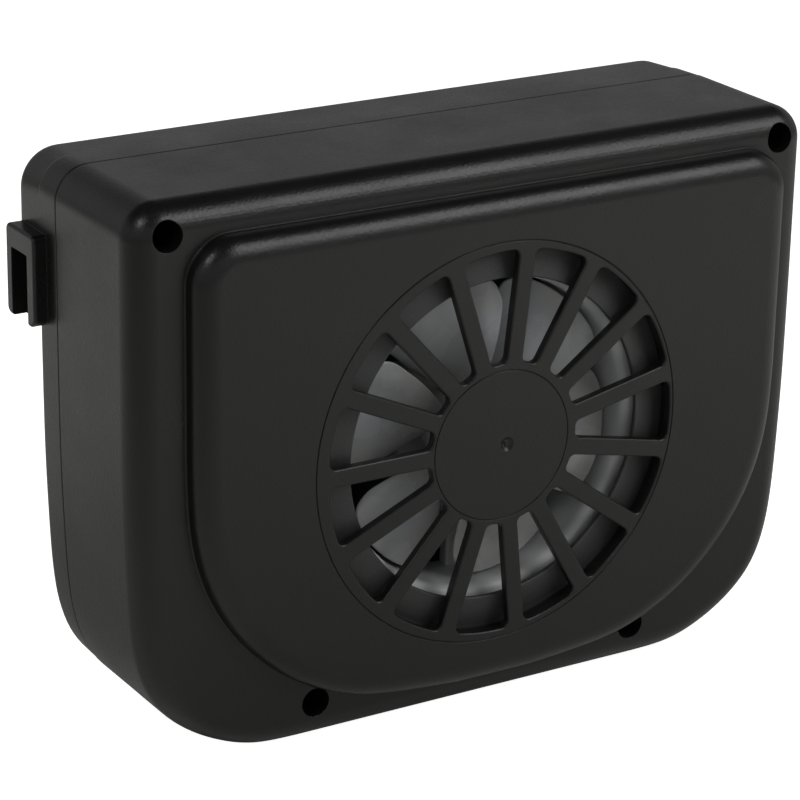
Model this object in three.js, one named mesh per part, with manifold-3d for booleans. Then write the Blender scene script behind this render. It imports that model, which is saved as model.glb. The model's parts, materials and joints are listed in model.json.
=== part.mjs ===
// Solar-powered car-window ventilator, built as a bench assembly of separate solids.
// Units are millimetres. +Z is up, the intake grille faces -Y, the hood and the solar panel face +Y.
// While modelling, z = 0 is about mid-height of the housing and y = 0 is its front rim. The root
// group then moves the origin to the centre of the footprint, on the ground under the housing.
import * as THREE from "three";
import { mergeVertices } from "three/addons/utils/BufferGeometryUtils.js";
import Module from "manifold-3d";

const wasm = await Module();
wasm.setup();
const { degToRad } = THREE.MathUtils;

/* ---------------------------------------------------------------- driving dimensions */
const HALF_W = 75.8; // half width of the housing
const TOP_Z = 56.75;
const BOTTOM_Z = -56.4;
const TOP_R = 7.0; // top corner radius
const RIM_R = 5.5; // rounding between the sides and the front rim
const WALL = 2.2;
const SEAM_Y = 31.1; // where the front shell ends
const SEAM_GAP = 0.3;
const BEYOND_X = 90; // cutters reach past the sides to here

const PANEL_PROUD = 5.0; // raised front panel, ahead of the rim
const PANEL_FRONT = -PANEL_PROUD;
const PANEL_ROUND = 4.8; // width of the panel's rounded edge
const PANEL_ROUND_Y = 3.8; // its depth
const PANEL_HALF_W = 66.7;
const PANEL_R = 9.0; // its top corner radius
const PANEL_TOP = 50.0;

const REAR_Y = 40.2; // lower rear face, which rests on the window glass
const HOOD_Y = 50.5; // rear face of the hood
const HOOD_R = 4.1; // rounding of the hood's rear edge
const HOOD_TOP_R = 8.4; // top corner radius at the hood's rear face
const HOOD_DRAFT = 0.5;
const POCKET_X = 75.0; // pockets in the strip sockets start here
const POCKET_Y = 38.5;
const CHANNEL_Y = 45.4; // glass channel runs from REAR_Y to here
const CHANNEL_TOP = 38.0; // ceiling of the glass channel, where the window's edge sits
const LIP_Z = 24.0; // lower edge of the hood's lip
const SOCKET_X = 78.4; // outer face of the strip sockets
const SOCKET_INNER_X = 71.5;

const FAN_X = 1.7; // fan axis
const FAN_Z = -0.1;
const THROAT_R = 31.8;
const DUCT_EAR_R = 47.2; // radius of the duct's screw ears
const CUP_Y = 14.0; // front of the motor cup's floor

// Case screws: x, z, label.
const CASE_SCREWS = [
  [-68.5, 51.03, "top_left"],
  [68.5, 51.03, "top_right"],
  [-37.15, -48.2, "bottom_left"],
  [37.15, -48.2, "bottom_right"],
];
const TOWER_END = 22.0; // the front shell's screw towers end here
// Solar board screws: x, z.
const BOARD_SCREWS = [[-57.8, -35], [57.8, -35], [-57.8, 13], [57.8, 13]];
const WINDOW = { halfWidth: 55, z0: -38, z1: 16 }; // opening over the solar cells
const BOARD = { halfWidth: 60.5, z0: -42.5, z1: 20.5 };

/* ---------------------------------------------------------------- materials */
const plain = (values) => new THREE.MeshStandardMaterial({ metalness: 0, ...values });
const metal = (values) => new THREE.MeshStandardMaterial({ metalness: 1, ...values });
const MATERIALS = {
  shell: plain({ color: 0x2b2b2b, roughness: 0.5 }),
  baffle: plain({ color: 0x1c1c1c, roughness: 0.6 }),
  milky: plain({ color: 0xb9bfc2, roughness: 0.4 }),
  duct: plain({ color: 0xd2d4d6, roughness: 0.45 }),
  steel: metal({ color: 0xb4b6b8, roughness: 0.35 }),
  screw: metal({ color: 0x50504e, roughness: 0.4 }),
  brass: metal({ color: 0xb08d4a, roughness: 0.4 }),
  bronze: metal({ color: 0x8a6a42, roughness: 0.5 }),
  copper: metal({ color: 0xb06a3c, roughness: 0.35 }),
  ferrite: plain({ color: 0x33312f, roughness: 0.7 }),
  carbon: plain({ color: 0x3a3a3c, roughness: 0.6 }),
  nylon: plain({ color: 0xe6e2d6, roughness: 0.5 }),
  cell: plain({ color: 0x14193a, roughness: 0.3 }),
  board: plain({ color: 0x1d3a24, roughness: 0.5 }),
  epoxy: plain({ color: 0xdfe6ea, roughness: 0.1 }),
  foam: plain({ color: 0x262626, roughness: 0.95 }),
  redWire: plain({ color: 0xa01818, roughness: 0.45 }),
  blackWire: plain({ color: 0x181818, roughness: 0.45 }),
};

/* ---------------------------------------------------------------- solids */
function toSolid(geometry) {
  const bare = geometry.clone();
  bare.deleteAttribute("normal");
  bare.deleteAttribute("uv");
  const merged = mergeVertices(bare, 1e-4);
  return new wasm.Manifold(
    new wasm.Mesh({
      numProp: 3,
      vertProperties: new Float32Array(merged.attributes.position.array),
      triVerts: new Uint32Array(merged.index.array),
    }),
  );
}

function toGeometry(solid) {
  const mesh = solid.getMesh();
  const positions = new Float32Array(mesh.numVert * 3);
  for (let i = 0; i < mesh.numVert; i++) {
    const start = i * mesh.numProp;
    positions.set(mesh.vertProperties.subarray(start, start + 3), i * 3);
  }
  const indexed = new THREE.BufferGeometry();
  indexed.setAttribute("position", new THREE.BufferAttribute(positions, 3));
  indexed.setIndex(new THREE.BufferAttribute(new Uint32Array(mesh.triVerts), 1));
  const flat = indexed.toNonIndexed();
  flat.computeVertexNormals();
  return flat;
}

const union = (solids) => solids.reduce((a, b) => a.add(b));
const cut = (solid, cutters) => cutters.reduce((a, b) => a.subtract(b), solid);

// The two x values may come in either order.
const box = (xa, xb, y0, y1, z0, z1) =>
  toSolid(
    new THREE.BoxGeometry(Math.abs(xb - xa), y1 - y0, z1 - z0)
      .translate((xa + xb) / 2, (y0 + y1) / 2, (z0 + z1) / 2),
  );
// A cylinder parallel to Y.
const rod = (x, z, radius, y0, y1, segments) =>
  toSolid(
    new THREE.CylinderGeometry(radius, radius, y1 - y0, segments).translate(x, (y0 + y1) / 2, z),
  );

// A profile of [radius, y] that starts and ends on the axis, turned about a line parallel to Y.
function turned(x, z, profile, segments) {
  const points = profile.map(([radius, y]) => new THREE.Vector2(radius, y));
  let solid = toSolid(new THREE.LatheGeometry(points, segments));
  if (solid.volume() < 0) {
    solid = toSolid(new THREE.LatheGeometry(points.reverse(), segments));
  }
  return solid.translate([x, 0, z]);
}

// A solid from flat position and index lists, turned inside out if its faces point inwards.
function fromTriangles(positions, indices) {
  const build = (index) => {
    const geometry = new THREE.BufferGeometry();
    geometry.setAttribute("position", new THREE.Float32BufferAttribute(positions, 3));
    geometry.setIndex(index);
    return toSolid(geometry);
  };
  const solid = build(indices);
  if (solid.volume() > 0) return solid;
  const flipped = [];
  for (let i = 0; i < indices.length; i += 3) {
    flipped.push(indices[i], indices[i + 2], indices[i + 1]);
  }
  return build(flipped);
}

// A shape drawn in the XZ plane, extruded from y0 to y1.
const plate = (shape, y0, y1, curveSegments = 6) =>
  toSolid(
    new THREE.ExtrudeGeometry(shape, { depth: y1 - y0, bevelEnabled: false, curveSegments })
      .rotateX(Math.PI / 2)
      .translate(0, y1, 0),
  );
const polygon = (points) => new THREE.Shape(points.map(([x, z]) => new THREE.Vector2(x, z)));

// A rectangle centred on x = 0, moved inwards by `margin` (outwards when negative).
function roundedRect({ halfWidth, z0, z1 }, margin, radius) {
  const right = halfWidth - margin - radius; // centres of the corner arcs
  const low = z0 + margin + radius;
  const high = z1 - margin - radius;
  const shape = new THREE.Shape();
  shape.moveTo(-right, low - radius);
  shape.lineTo(right, low - radius);
  shape.absarc(right, low, radius, -Math.PI / 2, 0);
  shape.lineTo(right + radius, high);
  shape.absarc(right, high, radius, 0, Math.PI / 2);
  shape.lineTo(-right, high + radius);
  shape.absarc(-right, high, radius, Math.PI / 2, Math.PI);
  shape.lineTo(-right - radius, low);
  shape.absarc(-right, low, radius, Math.PI, Math.PI * 1.5);
  return shape;
}

// A skin through rings of equal point count, each flat in XZ at its own y, capped at both ends.
function loft(rings) {
  const count = rings[0].points.length;
  const positions = rings.flatMap(({ points, y }) => points.flatMap(([x, z]) => [x, y, z]));
  const indices = [];
  for (let r = 0; r + 1 < rings.length; r++) {
    for (let i = 0; i < count; i++) {
      const a = r * count + i;
      const b = r * count + ((i + 1) % count);
      indices.push(a, a + count, b, b, a + count, b + count);
    }
  }
  const last = (rings.length - 1) * count;
  const contour = rings[0].points.map(([x, z]) => new THREE.Vector2(x, z));
  for (const [a, b, c] of THREE.ShapeUtils.triangulateShape(contour, [])) {
    indices.push(a, b, c);
    indices.push(last + a, last + c, last + b);
  }
  return fromTriangles(positions, indices);
}

/* ---------------------------------------------------------------- solids about the fan axis */
const fanPoint = (radius, angle) => [
  FAN_X + radius * Math.cos(angle),
  FAN_Z + radius * Math.sin(angle),
];
const fanRod = (radius, y0, y1, segments) => rod(FAN_X, FAN_Z, radius, y0, y1, segments);
// A closed profile of [radius, y] that stays clear of the axis.
const fanRing = (profile, segments) =>
  turned(FAN_X, FAN_Z, [...profile, profile[0]], segments);
const fanTube = (inner, outer, y0, y1, segments) =>
  fanRing([[inner, y0], [outer, y0], [outer, y1], [inner, y1]], segments);
// A box centred at the given radius and y, its length along the radius and its depth along Y.
const fanBox = ({ length, depth, width, radius, y, angle }) =>
  toSolid(
    new THREE.BoxGeometry(length, depth, width)
      .translate(radius, y, 0)
      .rotateY(-angle)
      .translate(FAN_X, 0, FAN_Z),
  );
function fanArc(outer, inner, middle, halfAngle) {
  const shape = new THREE.Shape();
  shape.absarc(FAN_X, FAN_Z, outer, middle - halfAngle, middle + halfAngle, false);
  shape.absarc(FAN_X, FAN_Z, inner, middle + halfAngle, middle - halfAngle, true);
  return shape;
}

/* ---------------------------------------------------------------- screws */
const CASE_SCREW = { headR: 2.5, headDepth: 2.0, shankR: 1.3, shankLength: 13 };
const DUCT_SCREW = { headR: 2.2, headDepth: 1.6, shankR: 1.0, shankLength: 6 };
const MOTOR_SCREW = { headR: 1.7, headDepth: 1.2, shankR: 0.85, shankLength: 2.9 };
const BOARD_SCREW = { headR: 1.9, headDepth: 1.2, shankR: 0.85, shankLength: 3.6 };
// y is the front of the head; the shank runs towards +Y.
function makeScrew({ headR, headDepth, shankR, shankLength }, x, z, y) {
  const seat = y + headDepth;
  return turned(x, z, [
    [0, y], [headR * 0.7, y], [headR, y + headDepth * 0.45], [headR, seat],
    [shankR, seat], [shankR, seat + shankLength - 0.8], [0, seat + shankLength],
  ], 6);
}

/* ---------------------------------------------------------------- outlines */
// Mirrors a right half, given from the bottom up, and rounds both top corners.
function makeOutline(lowerRight, halfWidth, top, radius) {
  const cornerSteps = 5;
  const curve = new THREE.SplineCurve(lowerRight.map(([x, z]) => new THREE.Vector2(x, z)));
  const right = curve.getPoints(15).map(({ x, y }) => [x, y]);
  for (let k = 0; k <= cornerSteps; k++) {
    const angle = (Math.PI / 2) * (k / cornerSteps);
    right.push([
      halfWidth - radius + radius * Math.cos(angle),
      top - radius + radius * Math.sin(angle),
    ]);
  }
  const left = right.map(([x, z]) => [-x, z]).reverse();
  return [...right, ...left];
}

// Moves every point of a convex counter-clockwise outline inwards.
function inset(points, distance) {
  const count = points.length;
  const direction = ([x0, z0], [x1, z1]) => {
    const length = Math.hypot(x1 - x0, z1 - z0);
    return [(x1 - x0) / length, (z1 - z0) / length];
  };
  return points.map((point, i) => {
    const [beforeX, beforeZ] = direction(points[(i + count - 1) % count], point);
    const [afterX, afterZ] = direction(point, points[(i + 1) % count]);
    const normalX = -(beforeZ + afterZ);
    const normalZ = beforeX + afterX;
    const scale = (2 * distance) / (normalX ** 2 + normalZ ** 2);
    return [point[0] + normalX * scale, point[1] + normalZ * scale];
  });
}

const ring = (outline, distance, y) => ({
  points: distance ? inset(outline, distance) : outline,
  y,
});
// A loft through one outline; stations are [inset, y].
const loftOutline = (outline, stations) =>
  loft(stations.map(([distance, y]) => ring(outline, distance, y)));

// Lower right edge of the housing: x, z.
const HOUSING_LOWER = [
  [38, BOTTOM_Z], [43.5, -56.35], [50.3, -55.75], [57.9, -52.85], [64.5, -48.7], [70.0, -42.9],
  [73.1, -35.4], [74.5, -26.5], [75.2, -14.0], [75.65, 0.0], [HALF_W, 20.0],
];
// Lower right edge of the raised front panel: x from the panel's centre, z.
const PANEL_LOWER = [
  [8, -50.2], [20, -49.3], [30, -47.9], [38, -45.1], [46.3, -40.4], [52.4, -35.0],
  [56.9, -29.9], [60.6, -24.2], [63.2, -18.6], [65.1, -12.4], [66.3, -4.5], [PANEL_HALF_W, 6.0],
];
const HOUSING = makeOutline(HOUSING_LOWER, HALF_W, TOP_Z, TOP_R);
const REAR = inset(HOUSING, 0.1);
const HOOD_REAR = inset(makeOutline(HOUSING_LOWER, HALF_W, TOP_Z, HOOD_TOP_R), 0.1);
const PANEL = makeOutline(PANEL_LOWER, PANEL_HALF_W, PANEL_TOP, PANEL_R)
  .map(([x, z]) => [x + FAN_X, z]); // the panel is centred on the fan

// Stations round the front rim, kept `depth` below the housing's skin.
function rimStations(depth, steps) {
  const radius = RIM_R - depth;
  return Array.from({ length: steps + 1 }, (_, k) => {
    const angle = (Math.PI / 2) * (k / steps);
    return [radius * (1 - Math.sin(angle)) + depth, radius * (1 - Math.cos(angle)) + depth];
  });
}

/* ---------------------------------------------------------------- intake grille */
const SLOT_OUTER_R = 39.2;
const SLOT_INNER_R = 16.65;
const SLOT_OUTER_ROUND = 1.4;
const SLOT_INNER_ROUND = 1.0;
const SPOKES = 15;
const SPOKE_W = 3.65;
const SPOKE_PHASE = 12; // degrees
const SPOKE_DEPTH = 1.9; // thickness of spokes and hub disc

// Three points of a quadratic bend from one point to another.
const bend = (from, control, to) =>
  [0, 0.5, 1].map((t) =>
    [0, 1].map((i) => (1 - t) ** 2 * from[i] + 2 * (1 - t) * t * control[i] + t * t * to[i]));

function toward(from, to, distance) {
  const share = distance / Math.hypot(to[0] - from[0], to[1] - from[1]);
  return [from[0] + (to[0] - from[0]) * share, from[1] + (to[1] - from[1]) * share];
}

function grilleSlot(k) {
  const outer = SLOT_OUTER_R;
  const inner = SLOT_INNER_R;
  const start = degToRad(SPOKE_PHASE + (360 / SPOKES) * k);
  const end = start + (2 * Math.PI) / SPOKES;
  const outerSpoke = Math.asin(SPOKE_W / 2 / outer); // angle of half a spoke
  const innerSpoke = Math.asin(SPOKE_W / 2 / inner);
  const outerRound = SLOT_OUTER_ROUND / outer; // angle of the corner rounding
  const innerRound = SLOT_INNER_ROUND / inner;

  const innerStart = fanPoint(inner, start + innerSpoke);
  const outerStart = fanPoint(outer, start + outerSpoke);
  const outerEnd = fanPoint(outer, end - outerSpoke);
  const innerEnd = fanPoint(inner, end - innerSpoke);
  const arcStart = start + outerSpoke + outerRound;
  const arcEnd = end - outerSpoke - outerRound;
  return polygon([
    ...bend(
      fanPoint(inner, start + innerSpoke + innerRound),
      innerStart,
      toward(innerStart, outerStart, SLOT_INNER_ROUND),
    ),
    ...bend(
      toward(outerStart, innerStart, SLOT_OUTER_ROUND),
      outerStart,
      fanPoint(outer, arcStart),
    ),
    ...[1, 2].map((i) => fanPoint(outer, arcStart + ((arcEnd - arcStart) * i) / 3)),
    ...bend(
      fanPoint(outer, arcEnd),
      outerEnd,
      toward(outerEnd, innerEnd, SLOT_OUTER_ROUND),
    ),
    ...bend(
      toward(innerEnd, outerEnd, SLOT_INNER_ROUND),
      innerEnd,
      fanPoint(inner, end - innerSpoke - innerRound),
    ),
  ]);
}

/* ---------------------------------------------------------------- front shell */
const BAFFLE_Y = -0.7; // front of the baffle ring's flat outer rim
// Screw ears of the fan duct: x, z, angle about the fan axis.
const DUCT_EARS = [45, 135, 225, 315].map((degrees) => {
  const angle = degToRad(degrees);
  return [...fanPoint(DUCT_EAR_R, angle), angle];
});

function makeFrontShell() {
  const body = loftOutline(HOUSING, [...rimStations(0, 4), [0, SEAM_Y]]);
  // Rounded edge of the panel, as shares of its width and depth.
  const edge = [[1, 0], [0.5, 0.134], [0.134, 0.5], [0, 1]];
  const panel = loftOutline(PANEL, [
    ...edge.map(([across, back]) => [PANEL_ROUND * across, PANEL_FRONT + PANEL_ROUND_Y * back]),
    [0, 1.0],
  ]);
  const hollow = loftOutline(HOUSING, [[5.8, 2.4], [3.6, 3.8], [WALL, 6.4], [WALL, SEAM_Y + 1]]);
  const panelHollow = loftOutline(PANEL, [
    [4.6, PANEL_FRONT + 2.4], [2.6, PANEL_FRONT + 3.8], [2.6, 3.0],
  ]);

  // Collar behind the slots, which carries the baffle ring.
  const adds = [fanTube(SLOT_OUTER_R, 42.0, -3.4, BAFFLE_Y - 0.3, 45)];
  const cuts = [];
  // Bosses that the fan duct is screwed to.
  for (const [x, z] of DUCT_EARS) {
    adds.push(rod(x, z, 3.4, -3.2, 2.7, 8));
    cuts.push(rod(x, z, 1.35, -1.6, 3.2, 6));
  }
  // Screw towers stop inside the skin of the rounded rim.
  const skin = 0.6;
  const trim = loftOutline(HOUSING, [...rimStations(skin, 2), [skin, TOWER_END]]);
  for (const [x, z] of CASE_SCREWS) {
    adds.push(rod(x, z, 4.6, 0.8, TOWER_END, 12).intersect(trim));
    cuts.push(rod(x, z, 3.0, -1, TOWER_END - 2, 16)); // bore for the head
    cuts.push(rod(x, z, 1.7, 0, TOWER_END + 1, 8)); // hole for the shank
  }
  // Thins spokes and hub disc from behind.
  cuts.push(fanRod(SLOT_OUTER_R, PANEL_FRONT + SPOKE_DEPTH, 2, 45));
  for (let k = 0; k < SPOKES; k++) cuts.push(plate(grilleSlot(k), -8, -1.5));
  // Moulding gate in the hub disc.
  cuts.push(rod(2.2, -0.2, 0.9, PANEL_FRONT - 1, PANEL_FRONT + 0.35, 8));
  return cut(union([cut(body.add(panel), [hollow, panelHollow]), ...adds]), cuts);
}

/* ---------------------------------------------------------------- rear shell */
// The lower body and, above the lip, the deeper hood.
function makeRearBody() {
  const front = SEAM_Y + SEAM_GAP;
  const low = loftOutline(REAR, [
    [0, front], [0.25, REAR_Y - 1.7], [0.75, REAR_Y - 0.5], [1.95, REAR_Y],
  ]);
  const roundStart = HOOD_Y - HOOD_R;
  const hoodSide = inset(HOOD_REAR, HOOD_DRAFT / 2);
  const midway = inset(REAR, HOOD_DRAFT / 2).map(([x, z], i) => [
    (x + hoodSide[i][0]) / 2,
    (z + hoodSide[i][1]) / 2,
  ]);
  const hood = loft([
    ring(REAR, 0, front),
    { points: midway, y: (front + roundStart) / 2 },
    ...[0, 0.33, 0.67, 1].map((share) => {
      const angle = (Math.PI / 2) * share;
      return ring(
        HOOD_REAR,
        HOOD_DRAFT + HOOD_R * (1 - Math.cos(angle)),
        roundStart + HOOD_R * Math.sin(angle),
      );
    }),
  ]);
  return low.add(hood.intersect(box(-BEYOND_X, BEYOND_X, 25, 60, LIP_Z, 70)));
}

// Strip socket: a raised block round one end of the glass channel, drawn in YZ, extruded along X.
function socketFrame(x0, x1) {
  const front = 35.7;
  const rear = 47.8;
  const top = 42.3;
  const bottom = 24.2;
  const shape = new THREE.Shape();
  shape.moveTo(front + 1.1, top);
  shape.lineTo(rear - 1.3, top);
  shape.quadraticCurveTo(rear, top, rear, top - 1.3);
  shape.lineTo(rear, bottom + 1.5);
  shape.quadraticCurveTo(rear, bottom, rear - 1.5, bottom);
  shape.lineTo(41.0, bottom);
  shape.lineTo(38.2, 24.0);
  shape.quadraticCurveTo(front, 24.4, front, 26.4);
  shape.lineTo(front, top - 1.1);
  shape.quadraticCurveTo(front, top, front + 1.1, top);
  const drawnInYZ = new THREE.Matrix4().makeBasis(
    new THREE.Vector3(0, 1, 0),
    new THREE.Vector3(0, 0, 1),
    new THREE.Vector3(1, 0, 0),
  );
  const settings = { depth: x1 - x0, bevelEnabled: false, curveSegments: 3 };
  return toSolid(
    new THREE.ExtrudeGeometry(shape, settings).applyMatrix4(drawnInYZ).translate(x0, 0, 0),
  );
}

// Exhaust slots in the hood's back, in three rows and three columns, sloping down and out.
const exhaustSlots = () =>
  [42.7, 46.3, 49.9].flatMap((z) =>
    [-38, 0, 38].map((x) =>
      toSolid(
        new THREE.BoxGeometry(32, 9, 2.0).rotateX(degToRad(-25)).translate(x, HOOD_Y - 1.2, z),
      )));

const boardHoles = (radius, y0, y1, segments) =>
  BOARD_SCREWS.map(([x, z]) => rod(x, z, radius, y0, y1, segments));

function makeRearShell() {
  // Tongue that slides inside the front shell.
  const tongue = loftOutline(HOUSING, [[2.75, 28.4], [2.6, 29.2], [2.6, 33]]);
  const hollow = loftOutline(HOUSING, [[3.9, 28], [3.9, 33.2], [3.0, 34.2], [3.2, REAR_Y - 2]]);
  const hoodHollow = loftOutline(HOUSING, [[3.1, 34.2], [3.6, 45.2], [5.0, HOOD_Y - 2.1]])
    .intersect(box(-BEYOND_X, BEYOND_X, 30, 60, CHANNEL_TOP + 2, 70));
  const channel = box(-BEYOND_X, BEYOND_X, REAR_Y, CHANNEL_Y, 10, CHANNEL_TOP);
  // Pockets for the ends of the weather strips.
  const pockets = [-1, 1].map((side) =>
    box(side * POCKET_X, side * BEYOND_X, POCKET_Y, CHANNEL_Y - 0.1, LIP_Z, CHANNEL_TOP));
  const body = cut(
    union([
      makeRearBody(),
      socketFrame(-SOCKET_X, -SOCKET_INNER_X),
      socketFrame(SOCKET_INNER_X, SOCKET_X),
      tongue,
    ]),
    [hollow, hoodHollow, channel, ...pockets],
  );

  const bossStart = TOWER_END + 0.6;
  const trim = loftOutline(HOUSING, [[2.7, bossStart], [2.7, HOOD_Y - 1.2]]);
  const bosses = CASE_SCREWS.map(([x, z]) => {
    const end = z > 0 ? HOOD_Y - 1.5 : REAR_Y - 1.2;
    return rod(x, z, 3.7, bossStart, end, 10).intersect(trim);
  });
  return cut(union([body, ...bosses]), [
    ...CASE_SCREWS.map(([x, z]) => rod(x, z, 1.65, TOWER_END, 34.5, 8)),
    plate(roundedRect(WINDOW, 0, 2), REAR_Y - 4, REAR_Y + 1, 4),
    ...boardHoles(1.15, REAR_Y - 3, REAR_Y - 0.8, 6),
    ...exhaustSlots(),
  ]);
}

/* ---------------------------------------------------------------- fan */
const MOTOR_SCREW_X = 8.2; // motor screws, either side of the fan axis

// Black ring behind the grille; its inner rim stands forward of its outer rim.
function makeBaffle() {
  const clearR = 32.8;
  const rise = 1.5;
  const rear = 0.5;
  return fanRing([
    [clearR, BAFFLE_Y - rise], [SLOT_OUTER_R, BAFFLE_Y], [41.6, BAFFLE_Y],
    [41.6, rear], [39.0, rear], [clearR, rear - rise],
  ], 45);
}

function makeDuct() {
  const flangeFront = 0.8;
  const flangeR = 43.0;
  const parts = [
    fanRing([
      [34.4, flangeFront], [32.9, 1.1], [32.1, 1.8], [THROAT_R, 2.9], [THROAT_R, 15.5],
      [33.4, 15.5], [33.4, 3.0], [flangeR, 3.0], [flangeR, flangeFront],
    ], 36),
  ];
  // Four screw ears reach the flange through short webs.
  for (const [x, z, angle] of DUCT_EARS) {
    const earR = DUCT_EAR_R - 3.2;
    const webR = DUCT_EAR_R - 6.8;
    parts.push(
      fanBox({ length: 8, depth: 2.2, width: 7.4, radius: earR, y: 4.1, angle }),
      rod(x, z, 3.7, 3.0, 5.2, 8),
      fanBox({ length: 5.4, depth: 3.0, width: 7.4, radius: webR, y: 2.9, angle }),
    );
  }
  // Motor cup on three struts.
  const floorRear = CUP_Y + 1.6;
  parts.push(fanRing([
    [4.2, CUP_Y], [14.3, CUP_Y], [14.3, 21.0], [12.7, 21.0], [12.7, floorRear], [4.2, floorRear],
  ], 20));
  for (const degrees of [30, 150, 270]) {
    const angle = degToRad(degrees);
    parts.push(fanBox({ length: 19.2, depth: 3.0, width: 3.2, radius: 23.0, y: CUP_Y, angle }));
  }
  return cut(union(parts), [
    ...DUCT_EARS.map(([x, z]) => rod(x, z, 1.7, -1, 8, 6)),
    ...motorScrewHoles(1.3, CUP_Y - 1, CUP_Y + 3),
  ]);
}

const motorScrewHoles = (radius, y0, y1) =>
  [-1, 1].map((side) => rod(FAN_X + side * MOTOR_SCREW_X, FAN_Z, radius, y0, y1, 6));

// The head is behind the duct's ear and the shank runs towards -Y.
const makeDuctScrew = (x, z) =>
  makeScrew(DUCT_SCREW, x, z, 0).mirror([0, 1, 0]).translate([0, 7.1, 0]);

const BLADE = {
  count: 6,
  phase: 45, // degrees, first blade
  rootR: 8.6,
  tipR: 31.0,
  halfThickness: 0.55,
  middleY: 7.4,
  rootPitch: 3.5, // half the depth along Y at the root, for the widest station
  pitchLoss: 1.2, // how much less at the tip
  camber: 1.1,
  sweep: 3, // degrees the tip is turned against the root
};
// Half angle of a blade at even stations from root to tip.
const BLADE_HALF_ANGLES = [20, 25.4, 28.0, 28.6, 28.4, 26.0].map(degToRad);
const WIDEST_HALF_ANGLE = BLADE_HALF_ANGLES[3];

// A curved sheet: a grid of points on its front and one on its back, closed round the rim.
function makeBlade(index) {
  const radialSteps = 5;
  const crossSteps = 4;
  const start = degToRad((360 / BLADE.count) * index + BLADE.phase);
  const positions = [];
  for (const offset of [-BLADE.halfThickness, BLADE.halfThickness]) {
    for (let i = 0; i <= radialSteps; i++) {
      const along = i / radialSteps;
      const radius = BLADE.rootR + (BLADE.tipR - BLADE.rootR) * along;
      const halfAngle = BLADE_HALF_ANGLES[i];
      const pitch = (BLADE.rootPitch - BLADE.pitchLoss * along) * (halfAngle / WIDEST_HALF_ANGLE);
      for (let j = 0; j <= crossSteps; j++) {
        const across = (j / crossSteps) * 2 - 1;
        const angle = start + degToRad(BLADE.sweep * along) + across * halfAngle;
        const bulge = BLADE.camber * (1 - across * across) * (0.4 + along);
        const y = BLADE.middleY + across * pitch - bulge;
        positions.push(radius * Math.cos(angle), y + offset, radius * Math.sin(angle));
      }
    }
  }

  const at = (side, i, j) => (side * (radialSteps + 1) + i) * (crossSteps + 1) + j;
  const indices = [];
  for (let i = 0; i < radialSteps; i++) {
    for (let j = 0; j < crossSteps; j++) {
      indices.push(at(0, i, j), at(0, i + 1, j), at(0, i, j + 1));
      indices.push(at(0, i, j + 1), at(0, i + 1, j), at(0, i + 1, j + 1));
      indices.push(at(1, i, j), at(1, i, j + 1), at(1, i + 1, j));
      indices.push(at(1, i, j + 1), at(1, i + 1, j + 1), at(1, i + 1, j));
    }
  }
  const rim = [];
  for (let j = 0; j < crossSteps; j++) rim.push([0, j]);
  for (let i = 0; i < radialSteps; i++) rim.push([i, crossSteps]);
  for (let j = crossSteps; j > 0; j--) rim.push([radialSteps, j]);
  for (let i = radialSteps; i > 0; i--) rim.push([i, 0]);
  rim.forEach((here, k) => {
    const next = rim[(k + 1) % rim.length];
    indices.push(at(0, ...here), at(0, ...next), at(1, ...here));
    indices.push(at(0, ...next), at(1, ...next), at(1, ...here));
  });
  return fromTriangles(positions, indices).translate([FAN_X, 0, FAN_Z]);
}

function makeImpeller() {
  const hubR = 9.4;
  const hubRear = 11.2;
  const hub = turned(FAN_X, FAN_Z, [
    [0, 2.2], [4.0, 2.35], [7.4, 3.0], [hubR, 4.6], [hubR, hubRear], [8.0, hubRear],
    [8.0, 6.0], [3.2, 5.2], [3.2, hubRear], [0, hubRear],
  ], 20);
  const blades = Array.from({ length: BLADE.count }, (_, k) => makeBlade(k));
  return union([hub, ...blades]).subtract(fanRod(1.3, 3.6, 13, 10));
}

/* ---------------------------------------------------------------- motor, behind the impeller */
// `side` is -1 for the left (-X) and 1 for the right (+X).
const CAN_Y = 15.9; // front face of the motor can
const ARMATURE_Y0 = 18.4;
const ARMATURE_Y1 = 23.0;
const ARMATURE_MID = (ARMATURE_Y0 + ARMATURE_Y1) / 2;
const POLE_ANGLES = [90, 210, 330].map(degToRad);
const TERMINAL_X = 7.6; // terminals, either side of the fan axis

const makeCan = () =>
  cut(
    fanRing([
      [2.9, CAN_Y - 1.5], [3.7, CAN_Y - 1.5], [3.7, CAN_Y], [12.2, CAN_Y],
      [12.2, 27.0], [11.5, 27.0], [11.5, CAN_Y + 0.8], [2.9, CAN_Y + 0.8],
    ], 18),
    motorScrewHoles(1.15, CAN_Y - 1, CAN_Y + 1.5),
  );

function makeEndCap() {
  const cap = fanRing([
    [2.9, 27.3], [12.1, 27.3], [12.1, 28.7], [4.2, 28.7], [4.2, 29.6], [2.9, 29.6],
  ], 18);
  const terminalSlots = [1, -1].map((side) => {
    const inner = FAN_X + side * (TERMINAL_X - 1);
    const outer = FAN_X + side * (TERMINAL_X + 1);
    return box(inner, outer, 27, 29, FAN_Z - 1.8, FAN_Z + 1.8);
  });
  return cut(cap, terminalSlots);
}

const makeShaft = () =>
  turned(FAN_X, FAN_Z, [[0, 4.2], [0.8, 4.2], [1.0, 4.5], [1.0, 29.8], [0.8, 30.1], [0, 30.1]], 10);
const makeBushing = (y0, y1) => fanTube(1.3, 2.6, y0, y1, 12);
const makeCommutator = () => fanTube(1.3, 2.6, 24.4, 26.9, 12);

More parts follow.
